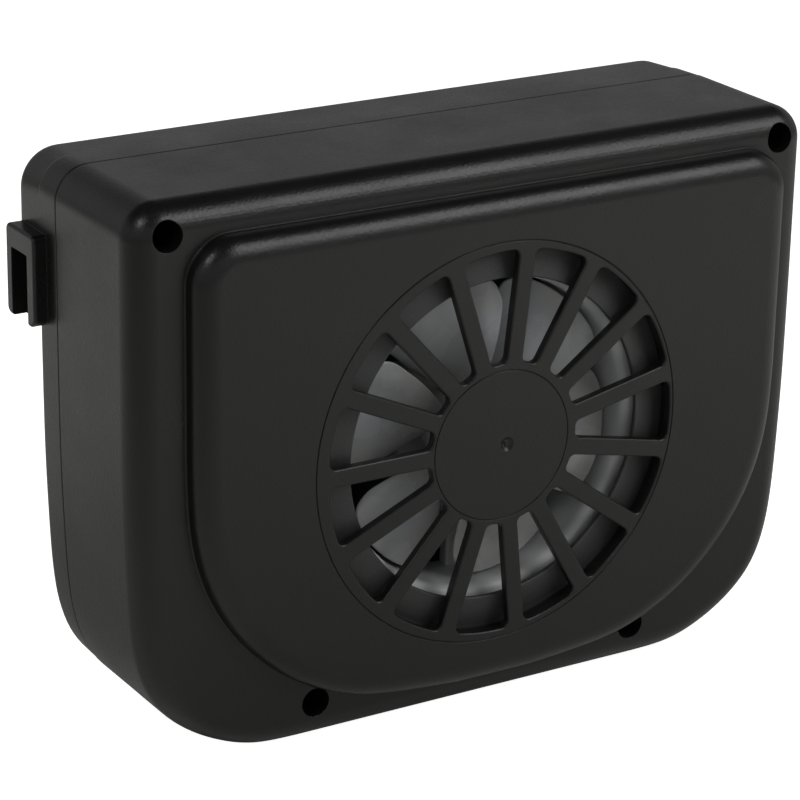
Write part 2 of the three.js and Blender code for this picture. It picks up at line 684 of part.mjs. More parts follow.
// Three poles, each a tooth with a curved shoe.
function makeCore() {
  const depth = ARMATURE_Y1 - ARMATURE_Y0;
  const poles = POLE_ANGLES.flatMap((angle) => [
    fanBox({ length: 6.6, depth, width: 2.2, radius: 4.3, y: ARMATURE_MID, angle }),
    plate(fanArc(8.8, 7.2, angle, degToRad(47)), ARMATURE_Y0, ARMATURE_Y1),
  ]);
  return union([fanRod(3.0, ARMATURE_Y0, ARMATURE_Y1, 12), ...poles])
    .subtract(fanRod(1.3, 17, 25, 10));
}

function makeCoil(angle) {
  const place = { radius: 5.3, y: ARMATURE_MID, angle };
  return fanBox({ length: 2.9, depth: 7.4, width: 4.6, ...place })
    .subtract(fanBox({ length: 8, depth: 5.2, width: 2.8, ...place }));
}

const makeMagnet = (side) =>
  plate(fanArc(11.1, 9.3, side > 0 ? 0 : Math.PI, degToRad(62)), CAN_Y + 1.4, 25.2, 9);
const makeBrush = (side) =>
  box(FAN_X + side * 2.95, FAN_X + side * 6.2, 25.0, 26.3, FAN_Z - 0.9, FAN_Z + 0.9);
function makeTerminal(side) {
  const x = FAN_X + side * TERMINAL_X;
  return box(x - 0.25, x + 0.25, 24.9, 31.6, FAN_Z - 1.4, FAN_Z + 1.4);
}
const makeMotorScrew = (side) =>
  makeScrew(MOTOR_SCREW, FAN_X + side * MOTOR_SCREW_X, FAN_Z, CUP_Y - 1.5);

/* ---------------------------------------------------------------- solar panel and leads */
const CELLS = 5;
const CELL_W = 21.2;
const CELL_PITCH = 21.8;

const makeGasket = () =>
  cut(plate(roundedRect(BOARD, 0.3, 1), 37.15, 37.9, 3), [
    plate(roundedRect(WINDOW, -0.4, 2), 36, 39, 3),
    ...boardHoles(1.5, 36, 39, 8),
  ]);
const makeBoard = () =>
  cut(plate(roundedRect(BOARD, 0, 1), 35.6, 36.8, 3), boardHoles(1.5, 34, 39, 8));
function makeCell(k) {
  const x = k * CELL_PITCH - ((CELLS - 1) * CELL_PITCH + CELL_W) / 2;
  return box(x, x + CELL_W, 37.1, 37.5, WINDOW.z0 + 0.6, WINDOW.z1 - 0.6);
}
const makeCellCover = () => plate(roundedRect(WINDOW, 0.35, 1.8), 37.8, 39.6, 4);

// Leads from the motor terminals to the front of the solar board: x, y, z.
const RED_PATH = [
  [FAN_X + TERMINAL_X, 32.6, FAN_Z], [FAN_X + 8.6, 33.6, FAN_Z - 3],
  [FAN_X + 13, 33.4, FAN_Z - 10], [22, 33.2, -18], [24, 33.6, -24], [24, 34.4, -26.5],
];
const BLACK_PATH = [
  [FAN_X - TERMINAL_X, 32.6, FAN_Z], [FAN_X - 8.2, 33.6, FAN_Z - 4],
  [FAN_X - 2, 33.4, FAN_Z - 13], [10, 33.2, -20], [15, 33.6, -25], [16, 34.4, -27.5],
];
function makeWire(path) {
  const radius = 0.7;
  const sides = 5;
  const points = path.map((point) => new THREE.Vector3(...point));
  const extrudePath = new THREE.CatmullRomCurve3(points, false, "centripetal");
  const section = polygon(Array.from({ length: sides }, (_, i) => {
    const angle = (i / sides) * 2 * Math.PI;
    return [radius * Math.cos(angle), radius * Math.sin(angle)];
  }));
  const settings = { steps: 11, bevelEnabled: false, extrudePath };
  return toSolid(new THREE.ExtrudeGeometry(section, settings));
}

/* ---------------------------------------------------------------- assembly */
const root = new THREE.Group();
root.name = "car_window_ventilator";
root.position.set(0, -(HOOD_Y - PANEL_PROUD) / 2, -BOTTOM_Z);

function group(name) {
  const child = new THREE.Group();
  child.name = name;
  root.add(child);
  return child;
}
function add(parent, name, solid, material) {
  const mesh = new THREE.Mesh(toGeometry(solid), material);
  mesh.name = name;
  parent.add(mesh);
}

const housing = group("housing");
add(housing, "front_shell", makeFrontShell(), MATERIALS.shell);
add(housing, "rear_shell", makeRearShell(), MATERIALS.shell);
for (const [x, z, label] of CASE_SCREWS) {
  const screw = makeScrew(CASE_SCREW, x, z, TOWER_END - 4.3);
  add(housing, `case_screw_${label}`, screw, MATERIALS.screw);
}

const fan = group("fan_module");
add(fan, "intake_baffle_ring", makeBaffle(), MATERIALS.baffle);
add(fan, "fan_duct", makeDuct(), MATERIALS.duct);
DUCT_EARS.forEach(([x, z], i) => {
  add(fan, `duct_screw_${i + 1}`, makeDuctScrew(x, z), MATERIALS.screw);
});
add(fan, "impeller", makeImpeller(), MATERIALS.milky);

const motor = group("motor");
add(motor, "motor_can", makeCan(), MATERIALS.steel);
add(motor, "motor_end_cap", makeEndCap(), MATERIALS.nylon);
add(motor, "motor_shaft", makeShaft(), MATERIALS.steel);
add(motor, "motor_front_bushing", makeBushing(CAN_Y - 1.4, CAN_Y + 0.7), MATERIALS.bronze);
add(motor, "motor_rear_bushing", makeBushing(27.4, 29.5), MATERIALS.bronze);
add(motor, "armature_core", makeCore(), MATERIALS.ferrite);
POLE_ANGLES.forEach((angle, k) => {
  add(motor, `armature_coil_${k + 1}`, makeCoil(angle), MATERIALS.copper);
});
add(motor, "commutator", makeCommutator(), MATERIALS.copper);
for (const [name, make, material] of [
  ["field_magnet", makeMagnet, MATERIALS.ferrite],
  ["brush", makeBrush, MATERIALS.carbon],
  ["terminal", makeTerminal, MATERIALS.brass],
  ["motor_screw", makeMotorScrew, MATERIALS.screw],
]) {
  add(motor, `${name}_left`, make(-1), material);
  add(motor, `${name}_right`, make(1), material);
}

const solar = group("solar_panel");
add(solar, "panel_gasket", makeGasket(), MATERIALS.foam);
add(solar, "solar_board", makeBoard(), MATERIALS.board);
for (let k = 0; k < CELLS; k++) add(solar, `solar_cell_${k + 1}`, makeCell(k), MATERIALS.cell);
add(solar, "cell_cover", makeCellCover(), MATERIALS.epoxy);
BOARD_SCREWS.forEach(([x, z], i) => {
  add(solar, `panel_screw_${i + 1}`, makeScrew(BOARD_SCREW, x, z, 34.1), MATERIALS.screw);
});
add(solar, "lead_red", makeWire(RED_PATH), MATERIALS.redWire);
add(solar, "lead_black", makeWire(BLACK_PATH), MATERIALS.blackWire);

export default root;
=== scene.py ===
# A solar-powered fan in a plastic housing that hangs on a pane of glass.
#
# The front shell (-Y) has a raised panel with the fan's round grille. The rear shell (+Y) has a
# window for five solar cells and, above it, a hood with louvres. The pane runs up into the
# channel between the two. The fan, its duct and its motor lie on one axis along Y.
import bpy
import json
import math
import numpy as np
from mathutils import Matrix, Vector


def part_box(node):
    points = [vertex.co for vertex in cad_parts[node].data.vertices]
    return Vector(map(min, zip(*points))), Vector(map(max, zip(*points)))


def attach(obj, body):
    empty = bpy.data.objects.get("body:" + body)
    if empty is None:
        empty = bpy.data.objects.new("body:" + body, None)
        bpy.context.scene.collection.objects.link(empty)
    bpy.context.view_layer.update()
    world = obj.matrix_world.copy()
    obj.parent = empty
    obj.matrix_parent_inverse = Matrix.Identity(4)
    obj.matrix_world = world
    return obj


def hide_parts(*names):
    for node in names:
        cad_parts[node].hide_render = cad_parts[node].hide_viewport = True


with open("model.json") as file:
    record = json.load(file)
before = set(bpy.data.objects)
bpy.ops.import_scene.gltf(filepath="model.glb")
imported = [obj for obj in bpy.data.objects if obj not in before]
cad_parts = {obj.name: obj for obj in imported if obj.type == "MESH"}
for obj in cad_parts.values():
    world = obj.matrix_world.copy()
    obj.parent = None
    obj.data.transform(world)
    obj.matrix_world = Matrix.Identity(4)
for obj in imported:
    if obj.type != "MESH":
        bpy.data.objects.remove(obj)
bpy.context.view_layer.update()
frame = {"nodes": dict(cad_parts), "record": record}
node_boxes = [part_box(node) for node in frame["nodes"]]
CAD_LOW = Vector([min(box[0][k] for box in node_boxes) for k in range(3)])
CAD_HIGH = Vector([max(box[1][k] for box in node_boxes) for k in range(3)])

# ------------------------------------------------------------------ driving sizes
HALF_WIDTH = 75.8
TOP_Z = 56.75
BOTTOM_Z = -56.4
TOP_CORNER = 7.0
HOOD_TOP_CORNER = 8.4
RIM_ROUND = 5.5                     # rounding of the front shell's rim
WALL = 2.2

PANEL_PROUD = 5.0                   # the raised panel stands this far in front of the rim
PANEL_HALF_WIDTH = 66.7
PANEL_TOP_Z = 50.0
PANEL_CORNER = 9.0
PANEL_ROUND = 4.8                   # rounding of the panel's edge, across and in depth
PANEL_ROUND_DEPTH = 3.8

SEAM_Y = 31.1                       # back of the front shell
SEAM_ROUND = 0.3
REAR_Y = 40.2                       # back of the rear shell below the hood
HOOD_Y = 50.5                       # back of the hood
HOOD_ROUND = 4.1
CHANNEL_Y = 45.4
CHANNEL_TOP = 38.0
LIP_Z = 24.0                        # lower end of the hood
SOCKET_X = 78.4
POCKET_X = 75.0
POCKET_Y = 38.5
WINDOW_XS = (-55.0, 55.0)
WINDOW_ZS = (-38.0, 16.0)

SLOT_OUTER = 39.2                   # radii of the grille's slots
SLOT_INNER = 16.65
SPOKES = 15
SPOKE_WIDTH = 3.65
SPOKE_PHASE = 12.0                  # degrees
SPOKE_DEPTH = 1.9

CASE_SCREWS = {                     # x, z
    "top_left": (-68.5, 51.03),
    "top_right": (68.5, 51.03),
    "bottom_left": (-37.15, -48.2),
    "bottom_right": (37.15, -48.2),
}
CASE_SCREW_PLACES = list(CASE_SCREWS.values())
TOWER_END = 22.0                    # back of the front shell's screw towers
SOLAR_SCREW_XS = (-57.8, 57.8)
SOLAR_SCREW_ZS = (-35, 13)
SOLAR_HOLES = [(x, z) for x in SOLAR_SCREW_XS for z in SOLAR_SCREW_ZS]

# the housing frame's origin in the scene, and the fan's axis in the housing frame
ORIGIN_X = (CAD_LOW.x + CAD_HIGH.x) * 500.0
ORIGIN_Y = CAD_LOW.y * 1000.0 + PANEL_PROUD
ORIGIN_Z = CAD_LOW.z * 1000.0 - BOTTOM_Z
JOINTS = frame["record"]["behaviour"]["joints"]
AXIS = next(joint["pos_m"] for joint in JOINTS if joint["name"] == "fan_spin")
FAN_X = AXIS[0] * 1000 - ORIGIN_X
FAN_Z = AXIS[2] * 1000 - ORIGIN_Z
IMPELLER_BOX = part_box("impeller")
TIP_RADIUS = (IMPELLER_BOX[1].x - IMPELLER_BOX[0].x) * 500.0

EAR_REACH = 47.2                    # from the fan's axis to the screws that hold the duct
EAR_ANGLES = [math.radians(a) for a in (45, 135, 225, 315)]
EARS = [(FAN_X + EAR_REACH * math.cos(a), FAN_Z + EAR_REACH * math.sin(a)) for a in EAR_ANGLES]
MOTOR_SCREW_REACH = 8.2
MOTOR_SCREWS = [(FAN_X + side * MOTOR_SCREW_REACH, FAN_Z) for side in (-1, 1)]

scene = bpy.context.scene
COLLECTION = scene.collection


# ------------------------------------------------------------------ mesh objects
def linked(mesh):
    shape = bpy.data.objects.new("shape", mesh)
    COLLECTION.objects.link(shape)
    return shape


def make(verts, faces):
    """A mesh object whose closed skin faces outward."""
    mesh = bpy.data.meshes.new("shape")
    mesh.from_pydata([tuple(map(float, v)) for v in verts], [], [tuple(f) for f in faces])
    mesh.update()
    if signed_volume(mesh) < 0:
        mesh.flip_normals()
    return linked(mesh)


def signed_volume(mesh):
    mesh.calc_loop_triangles()
    count = len(mesh.loop_triangles)
    if not count:
        return 0.0
    corners = np.empty(count * 3, np.int32)
    mesh.loop_triangles.foreach_get("vertices", corners)
    places = np.empty(len(mesh.vertices) * 3, np.float32)
    mesh.vertices.foreach_get("co", places)
    places = places.reshape(-1, 3).astype(float)
    tri = places[corners.reshape(-1, 3)]
    return float(np.einsum("ij,ij->i", tri[:, 0], np.cross(tri[:, 1], tri[:, 2])).sum() / 6)


def drop(shape):
    mesh = shape.data
    bpy.data.objects.remove(shape)
    if mesh and mesh.users == 0:
        bpy.data.meshes.remove(mesh)


def swap_mesh(shape, mesh):
    old = shape.data
    shape.modifiers.clear()
    shape.data = mesh
    bpy.data.meshes.remove(old)
    return shape


def evaluated(shape):
    """Applies the modifiers."""
    graph = bpy.context.evaluated_depsgraph_get()
    mesh = bpy.data.meshes.new_from_object(shape.evaluated_get(graph),
                                           preserve_all_data_layers=True, depsgraph=graph)
    return swap_mesh(shape, mesh)


def combine(shape, other, operation, solver="MANIFOLD"):
    boolean = shape.modifiers.new("boolean", "BOOLEAN")
    boolean.operation = operation
    boolean.solver = solver
    boolean.object = other
    graph = bpy.context.evaluated_depsgraph_get()
    mesh = bpy.data.meshes.new_from_object(shape.evaluated_get(graph), depsgraph=graph)
    # the manifold solver gives nothing when an input isn't watertight
    if solver == "MANIFOLD" and len(mesh.polygons) == 0:
        bpy.data.meshes.remove(mesh)
        shape.modifiers.clear()
        return combine(shape, other, operation, "EXACT")
    swap_mesh(shape, mesh)
    drop(other)
    return shape


def union(shape, *others):
    for other in others:
        shape = combine(shape, other, "UNION")
    return shape


def cut(shape, *others):
    for other in others:
        shape = combine(shape, other, "DIFFERENCE")
    return shape


def meet(shape, other):
    return combine(shape, other, "INTERSECT")


def joined(shapes):
    """Separate shells in one mesh object."""
    verts, faces, base = [], [], 0
    for shape in shapes:
        verts += [tuple(v.co) for v in shape.data.vertices]
        faces += [tuple(i + base for i in p.vertices) for p in shape.data.polygons]
        base += len(shape.data.vertices)
        drop(shape)
    mesh = bpy.data.meshes.new("shape")
    mesh.from_pydata(verts, [], faces)
    mesh.update()
    return linked(mesh)


def moved(shape, matrix):
    shape.data.transform(matrix)
    if matrix.determinant() < 0:
        shape.data.flip_normals()
    return shape


def placed(shape, turn, x=FAN_X, y=0.0, z=FAN_Z):
    """Turned so that local +X points turn radians up from +X, then moved."""
    return moved(shape, Matrix.Translation((x, y, z)) @ Matrix.Rotation(-turn, 4, "Y"))


def soften(shape, width, angle, segments):
    """Small rounded edges wherever faces meet at more than angle degrees."""
    bevel = shape.modifiers.new("bevel", "BEVEL")
    bevel.width = width
    bevel.segments = segments
    bevel.limit_method = "ANGLE"
    bevel.angle_limit = math.radians(angle)
    bevel.use_clamp_overlap = True
    bevel.miter_outer = "MITER_ARC"
    return evaluated(shape)


# ------------------------------------------------------------------ lines and outlines
def spline_at(points, t):
    """The point at t, from 0 to 1, of a Catmull-Rom curve through points."""
    s = (len(points) - 1) * t
    i = min(int(s), len(points) - 2)
    w = s - i
    before, start = points[max(i - 1, 0)], points[i]
    end, after = points[i + 1], points[min(i + 2, len(points) - 1)]
    pull0, pull1 = (end - before) / 2, (after - start) / 2
    return ((2 * start - 2 * end + pull0 + pull1) * w ** 3
            + (-3 * start + 3 * end - 2 * pull0 - pull1) * w ** 2 + pull0 * w + start)


def spline(points, count):
    points = np.array(points, float)
    return np.array([spline_at(points, t) for t in np.linspace(0, 1, count)])


def resample(points, count):
    """Points at equal steps along the line."""
    run = np.r_[0, np.cumsum(np.linalg.norm(np.diff(points, axis=0), axis=1))]
    steps = np.linspace(0, run[-1], count)
    return np.stack([np.interp(steps, run, points[:, k]) for k in range(points.shape[1])], 1)


def fair(points, rounds):
    """Evens out a line between its fixed ends."""
    for _ in range(rounds):
        smooth = points.copy()
        smooth[1:-1] = (points[:-2] + 2 * points[1:-1] + points[2:]) / 4
        points = smooth
    return points


def mirrored_outline(lower, top, corner):
    """Closed outline from its lower right half (x, z), with upright sides and round top corners."""
    half_width, side_z = lower[-1]
    right = list(map(tuple, fair(resample(spline(lower, 900), 65), rounds=6)))
    right += [(half_width, z) for z in np.linspace(side_z, top - corner, 5)[1:-1]]
    for k in range(15):
        t = math.pi / 2 * k / 14
        right.append((half_width - corner + corner * math.cos(t),
                      top - corner + corner * math.sin(t)))
    return np.array(right + [(-x, z) for x, z in reversed(right)])


def inset(points, distance):
    """A counter-clockwise outline moved inward by distance."""
    if abs(distance) < 1e-9:
        return points.copy()
    before = points - np.roll(points, 1, 0)
    after = np.roll(points, -1, 0) - points
    before /= np.linalg.norm(before, axis=1)[:, None]
    after /= np.linalg.norm(after, axis=1)[:, None]
    normal = np.stack([-(before[:, 1] + after[:, 1]), before[:, 0] + after[:, 0]], 1)
    square = (normal ** 2).sum(1)
    return points + normal * (distance / (square / 2))[:, None]


def fillet(points, steps=5, closed=True):
    """points [(a, b, radius)]; each corner is rounded to its radius."""
    line = []
    count = len(points)
    for i, (a, b, radius) in enumerate(points):
        if radius <= 0 or (not closed and i in (0, count - 1)):
            line.append((a, b))
            continue
        corner = np.array((a, b), float)
        before = np.array(points[i - 1][:2], float) - corner
        after = np.array(points[(i + 1) % count][:2], float) - corner
        before_length, after_length = np.linalg.norm(before), np.linalg.norm(after)
        before, after = before / before_length, after / after_length
        angle = math.acos(max(-1, min(1, float(before @ after))))
        if angle > math.pi - 0.02:
            line.append((a, b))
            continue
        reach = min(radius / math.tan(angle / 2), before_length * 0.49, after_length * 0.49)
        fitted = reach * math.tan(angle / 2)
        bisector = (before + after) / np.linalg.norm(before + after)
        centre = corner + bisector * (fitted / math.sin(angle / 2))
        start = corner + before * reach - centre
        end = corner + after * reach - centre
        start_angle = math.atan2(start[1], start[0])
        turn = math.atan2(end[1], end[0]) - start_angle
        turn = (turn + math.pi) % (2 * math.pi) - math.pi
        for k in range(steps + 1):
            t = start_angle + turn * k / steps
            line.append((centre[0] + fitted * math.cos(t), centre[1] + fitted * math.sin(t)))
    return line


def rounded_rect(xs, zs, radius, steps=8):
    left, right = xs[0] + radius, xs[1] - radius
    low, high = zs[0] + radius, zs[1] - radius
    points = []
    for x, z, start in ((right, low, -90), (right, high, 0), (left, high, 90), (left, low, 180)):
        for k in range(steps + 1):
            t = math.radians(start + 90 * k / steps)
            points.append((x + radius * math.cos(t), z + radius * math.sin(t)))
    return np.array(points)


def widened(span, by):
    return span[0] - by, span[1] + by


def quarter(steps):
    """Angles over a quarter turn."""
    return [math.pi / 2 * k / steps for k in range(steps + 1)]


def rim(radius, angles, depth=None):
    """(inset, depth below the face) along an edge rounded from the face to the side."""
    depth = depth or radius
    return [(radius * (1 - math.sin(t)), depth * (1 - math.cos(t))) for t in angles]


def back_rim(radius, start, y, degrees):
    """Stations (inset, y) along an edge rounded from a side inset by start to the back."""
    return [(start + radius * (1 - math.cos(t)), y + radius * math.sin(t))
            for t in map(math.radians, degrees)]


def stack(outline, stations):
    """Rings for skin(): the outline at stations [(inset, y)]."""
    return [(inset(outline, distance), y) for distance, y in stations]


# ------------------------------------------------------------------ basic solids
# xs, ys and zs are (low, high) pairs
def skin(rings):
    """A closed skin through rings [(points in XZ, y)], capped at both ends."""
    count = len(rings[0][0])
    verts = [(p[0], y, p[1]) for points, y in rings for p in points]
    faces = []
    for ring in range(len(rings) - 1):
        for i in range(count):
            a, b = ring * count + i, ring * count + (i + 1) % count
            faces.append((a, a + count, b + count, b))
    faces.append(range(count))
    last = (len(rings) - 1) * count
    faces.append([last + i for i in reversed(range(count))])
    return make(verts, faces)


def lathe(profile, sides=96, x=FAN_X, z=FAN_Z):
    """profile [(radius, y)], closed on itself unless it starts and ends on the axis, turned
    about a line along Y."""
    verts, rows = [], []
    for radius, y in profile:
        if radius < 1e-6:
            rows.append([len(verts)])
            verts.append((x, y, z))
            continue
        rows.append(list(range(len(verts), len(verts) + sides)))
        for k in range(sides):
            t = 2 * math.pi * k / sides
            verts.append((x + radius * math.cos(t), y, z + radius * math.sin(t)))
    pairs = list(zip(rows[:-1], rows[1:]))
    if not (profile[0][0] < 1e-6 and profile[-1][0] < 1e-6):
        pairs.append((rows[-1], rows[0]))
    faces = []
    for a, b in pairs:
        for k in range(sides):
            q = (k + 1) % sides
            if len(a) == 1:
                faces.append((a[0], b[q], b[k]))
            elif len(b) == 1:
                faces.append((a[k], a[q], b[0]))
            else:
                faces.append((a[k], a[q], b[q], b[k]))
    return make(verts, faces)


def rod(x, z, radius, ys, sides=48, edge=0.0):
    """A cylinder along Y, its rims rounded to edge."""
    profile = [(0, ys[0]), (radius, ys[0]), (radius, ys[1]), (0, ys[1])]
    if edge > 0:
        profile = fillet([(r, y, edge) for r, y in profile], 3, closed=False)
    return lathe(profile, sides, x, z)


def rods(places, radius, ys, sides, edge=0.0):
    return joined([rod(x, z, radius, ys, sides, edge) for x, z in places])


def block(xs, ys, zs):
    return make([(x, y, z) for x in xs for y in ys for z in zs],
                [(0, 1, 3, 2), (4, 6, 7, 5), (0, 4, 5, 1), (2, 3, 7, 6), (0, 2, 6, 4), (1, 5, 7, 3)])


def slab(points, ys, edge=0.3, steps=3):
    """A plate with a counter-clockwise outline in XZ and rounded rims."""
    rounding = rim(edge, quarter(steps))
    stations = [(distance, ys[0] + depth) for distance, depth in rounding]
    stations += [(distance, ys[1] - depth) for distance, depth in reversed(rounding)]
    return skin(stack(np.array(points, float), stations))


def bar_along_x(xs, profile):
    """A straight bar with profile [(y, z)]."""
    n = len(profile)
    faces = [(i, (i + 1) % n, n + (i + 1) % n, n + i) for i in range(n)]
    faces += [tuple(reversed(range(n))), tuple(n + i for i in range(n))]
    return make([(x, y, z) for x in xs for y, z in profile], faces)


# ------------------------------------------------------------------ finished pieces
MATERIALS = {}
FINISHED = []


def finish(shape, name, look, body="housing", sharp=34):
    """Takes a shape to metres in the scene, shades it and gives it to its moving body."""
    shape.name = name
    mesh = shape.data
    mesh.name = name
    origin = (ORIGIN_X / 1000, ORIGIN_Y / 1000, ORIGIN_Z / 1000)
    mesh.transform(Matrix.Translation(origin) @ Matrix.Scale(0.001, 4))
    mesh.materials.clear()
    mesh.materials.append(MATERIALS[look])
    for face in mesh.polygons:
        face.material_index = 0
        face.use_smooth = True
    mesh.set_sharp_from_angle(angle=math.radians(sharp))
    weighted = shape.modifiers.new("weighted_normal", "WEIGHTED_NORMAL")
    weighted.keep_sharp = True
    weighted.weight = 60
    evaluated(shape)
    shape.data.name = name
    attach(shape, body)
    FINISHED.append(shape)


def piece(shape, cad_name, look, body="housing", sharp=34, name=None):
    """A finished piece that takes the place of a CAD piece."""
    finish(shape, name or cad_name + "_fine", look, body, sharp)
    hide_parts(cad_name)


# ------------------------------------------------------------------ materials
MIDDLE = (0.3, 0.7)                 # where most of a noise texture's values lie


def shade(colour, gain, lift=0.0, cap=math.inf):
    return tuple(min(cap, c * gain + lift) for c in colour)


class Shader:
    """A material with a Principled shader; its methods add nodes and return their outputs."""

    def __init__(self, name):
        material = bpy.data.materials.new(name)
        material.use_nodes = True
        self.tree = material.node_tree
        self.tree.nodes.clear()
        output = self.node("OutputMaterial")
        self.principled = self.node("BsdfPrincipled")
        self.feed(output.inputs[0], self.principled.outputs[0])
        self.coord = self.node("TexCoord").outputs["Object"]
        MATERIALS[name] = material

    def node(self, kind):
        return self.tree.nodes.new("ShaderNode" + kind)

    def feed(self, socket, value):
        """Links an output to the socket, or sets the socket's value."""
        if isinstance(value, bpy.types.NodeSocket):
            self.tree.links.new(value, socket)
        elif isinstance(value, tuple) and socket.type == "RGBA":
            socket.default_value = (*value, 1.0)
        else:
            socket.default_value = value

    def put(self, socket, value):
        self.feed(self.principled.inputs[socket], value)

    def scaled(self, factors):
        mapping = self.node("Mapping")
        self.feed(mapping.inputs[0], self.coord)
        mapping.inputs["Scale"].default_value = factors
        return mapping.outputs[0]

    def noise(self, scale, detail=2.0, roughness=0.5, vector=None, distortion=0.0):
        noise = self.node("TexNoise")
        self.feed(noise.inputs["Vector"], vector or self.coord)
        noise.inputs["Scale"].default_value = scale
        noise.inputs["Detail"].default_value = detail
        noise.inputs["Roughness"].default_value = roughness
        noise.inputs["Distortion"].default_value = distortion
        return noise.outputs["Fac"]

    def voronoi(self, scale, output="Distance"):
        voronoi = self.node("TexVoronoi")
        self.feed(voronoi.inputs["Vector"], self.coord)
        voronoi.inputs["Scale"].default_value = scale
        return voronoi.outputs[output]

    def remap(self, value, to=(0, 1), span=MIDDLE):
        """The span of value stretched to the range to, and clamped there."""
        ranger = self.node("MapRange")
        ranger.clamp = True
        for socket, number in zip(ranger.inputs, (value, *span, *to)):
            self.feed(socket, number)
        return ranger.outputs[0]

    def math(self, operation, *values):
        node = self.node("Math")
        node.operation = operation
        for socket, value in zip(node.inputs, values):
            self.feed(socket, value)
        return node.outputs[0]

    def mix(self, factor, first, second):
        mix = self.node("Mix")
        mix.data_type = "RGBA"
        for k, value in ((0, factor), (6, first), (7, second)):
            self.feed(mix.inputs[k], value)
        return mix.outputs[2]

    def edge_normal(self, radius):
        """The normal, rounded over edges by radius in metres."""
        bevel = self.node("Bevel")
        bevel.samples = 4
        bevel.inputs["Radius"].default_value = radius
        return bevel.outputs[0]

    def edge_mask(self, normal):
        """1 where the rounded normal leaves the true one, 0 on flat ground."""
        geometry = self.node("NewGeometry")
        dot = self.node("VectorMath")
        dot.operation = "DOT_PRODUCT"
        self.feed(dot.inputs[0], normal)
        self.feed(dot.inputs[1], geometry.outputs["Normal"])
        return self.remap(dot.outputs["Value"], span=(0.985, 0.86))

    def bump(self, height, distance, strength=1.0, normal=None):
        bump = self.node("Bump")
        bump.inputs["Distance"].default_value = distance
        bump.inputs["Strength"].default_value = strength
        self.feed(bump.inputs["Height"], height)
        if normal is not None:
            self.feed(bump.inputs["Normal"], normal)
        return bump.outputs[0]


def moulded(name, dark, light, rough=(0.36, 0.5), level=0.35, wear=(0.09, 0.09, 0.088),
            edge=0.0004, specks=0.5):
    """Textured moulded plastic: colour drift, eroded grain, faint dust, brighter worn edges."""
    shader = Shader(name)
    drift = shader.noise(scale=22, detail=3, roughness=0.55)
    colour = shader.mix(shader.remap(drift), dark, light)
    fine = shader.noise(scale=2300, detail=2, roughness=0.6)
    pits = shader.voronoi(scale=1500)
    grain = shader.remap(fine, to=(0.0, 0.30), span=(0.35, 0.75))
    colour = shader.mix(grain, colour, shade(light, gain=1.9))
    specks = shader.remap(shader.noise(scale=900, detail=4, roughness=0.7),
                          to=(0, specks), span=(0.66, 0.8))
    patches = shader.remap(shader.noise(scale=60), span=(0.45, 0.7))
    dust = shader.math("MULTIPLY", specks, patches)
    colour = shader.mix(dust, colour, shade(light, gain=3, lift=0.02, cap=1))
    normal = None
    if edge:
        normal = shader.edge_normal(edge)
        mask = shader.edge_mask(normal)
        rubbed = shader.remap(shader.noise(scale=140, detail=3, roughness=0.6),
                              to=(0.15, 0.6), span=(0.35, 0.65))
        colour = shader.mix(shader.math("MULTIPLY", mask, rubbed), colour, wear)
    shader.put("Base Color", colour)
    gloss = shader.remap(shader.noise(scale=75, detail=4, roughness=0.6), to=rough)
    shader.put("Roughness", shader.math("ADD", gloss, shader.remap(fine, to=(-0.04, 0.05))))
    shader.put("Specular IOR Level", level)
    height = shader.math("ADD", shader.math("MULTIPLY", fine, 0.7),
                         shader.math("MULTIPLY", pits, 0.5))
    shader.put("Normal", shader.bump(height, distance=0.00004, strength=0.9, normal=normal))


def translucent(name, dark, light, subsurface, rough):
    """Pale moulded plastic with flow marks and some light inside."""
    shader = Shader(name)
    colour = shader.mix(shader.remap(shader.noise(scale=45, detail=3)), dark, light)
    flow = shader.noise(scale=30, detail=3, roughness=0.6, vector=shader.scaled((1, 3, 1)),
                        distortion=1.5)
    flow = shader.remap(flow, to=(0, 0.25), span=(0.45, 0.75))
    colour = shader.mix(flow, colour, shade(dark, gain=0.86))
    normal = shader.edge_normal(0.0003)
    mask = shader.edge_mask(normal)
    colour = shader.mix(shader.math("MULTIPLY", mask, 0.35), colour,
                        shade(light, gain=1.12, cap=1))
    shader.put("Base Color", colour)
    shader.put("Roughness", shader.remap(shader.noise(scale=120, detail=3), to=rough))
    shader.put("Subsurface Weight", subsurface)
    shader.put("Subsurface Radius", (1.0, 0.95, 0.9))
    shader.put("Subsurface Scale", 0.0012)
    shader.put("Specular IOR Level", 0.5)
    height = shader.noise(scale=1600)
    shader.put("Normal", shader.bump(height, distance=0.00002, strength=0.6, normal=normal))


def metal(name, colour, rough, stretch=(1, 1, 1), blotch=0.18, grain=0.00001, metallic=1.0):
    """Metal with blotches, fine lines drawn out by stretch, and bright edges."""
    shader = Shader(name)
    lines = shader.noise(scale=900, detail=3, roughness=0.6, vector=shader.scaled(stretch))
    blots = shader.noise(scale=70, detail=4, roughness=0.6)
    base = shader.mix(shader.remap(blots), shade(colour, gain=1 - blotch), colour)
    normal = shader.edge_normal(0.0002)
    mask = shader.edge_mask(normal)
    base = shader.mix(shader.math("MULTIPLY", mask, 0.5), base,
                      shade(colour, gain=1.35, lift=0.03, cap=1))
    shader.put("Base Color", base)
    shader.put("Metallic", metallic)
    gloss = shader.remap(blots, to=(rough - 0.06, rough + 0.08))
    shader.put("Roughness", shader.math("ADD", gloss, shader.remap(lines, to=(-0.04, 0.06))))
    shader.put("Normal", shader.bump(lines, distance=grain, strength=0.6, normal=normal))


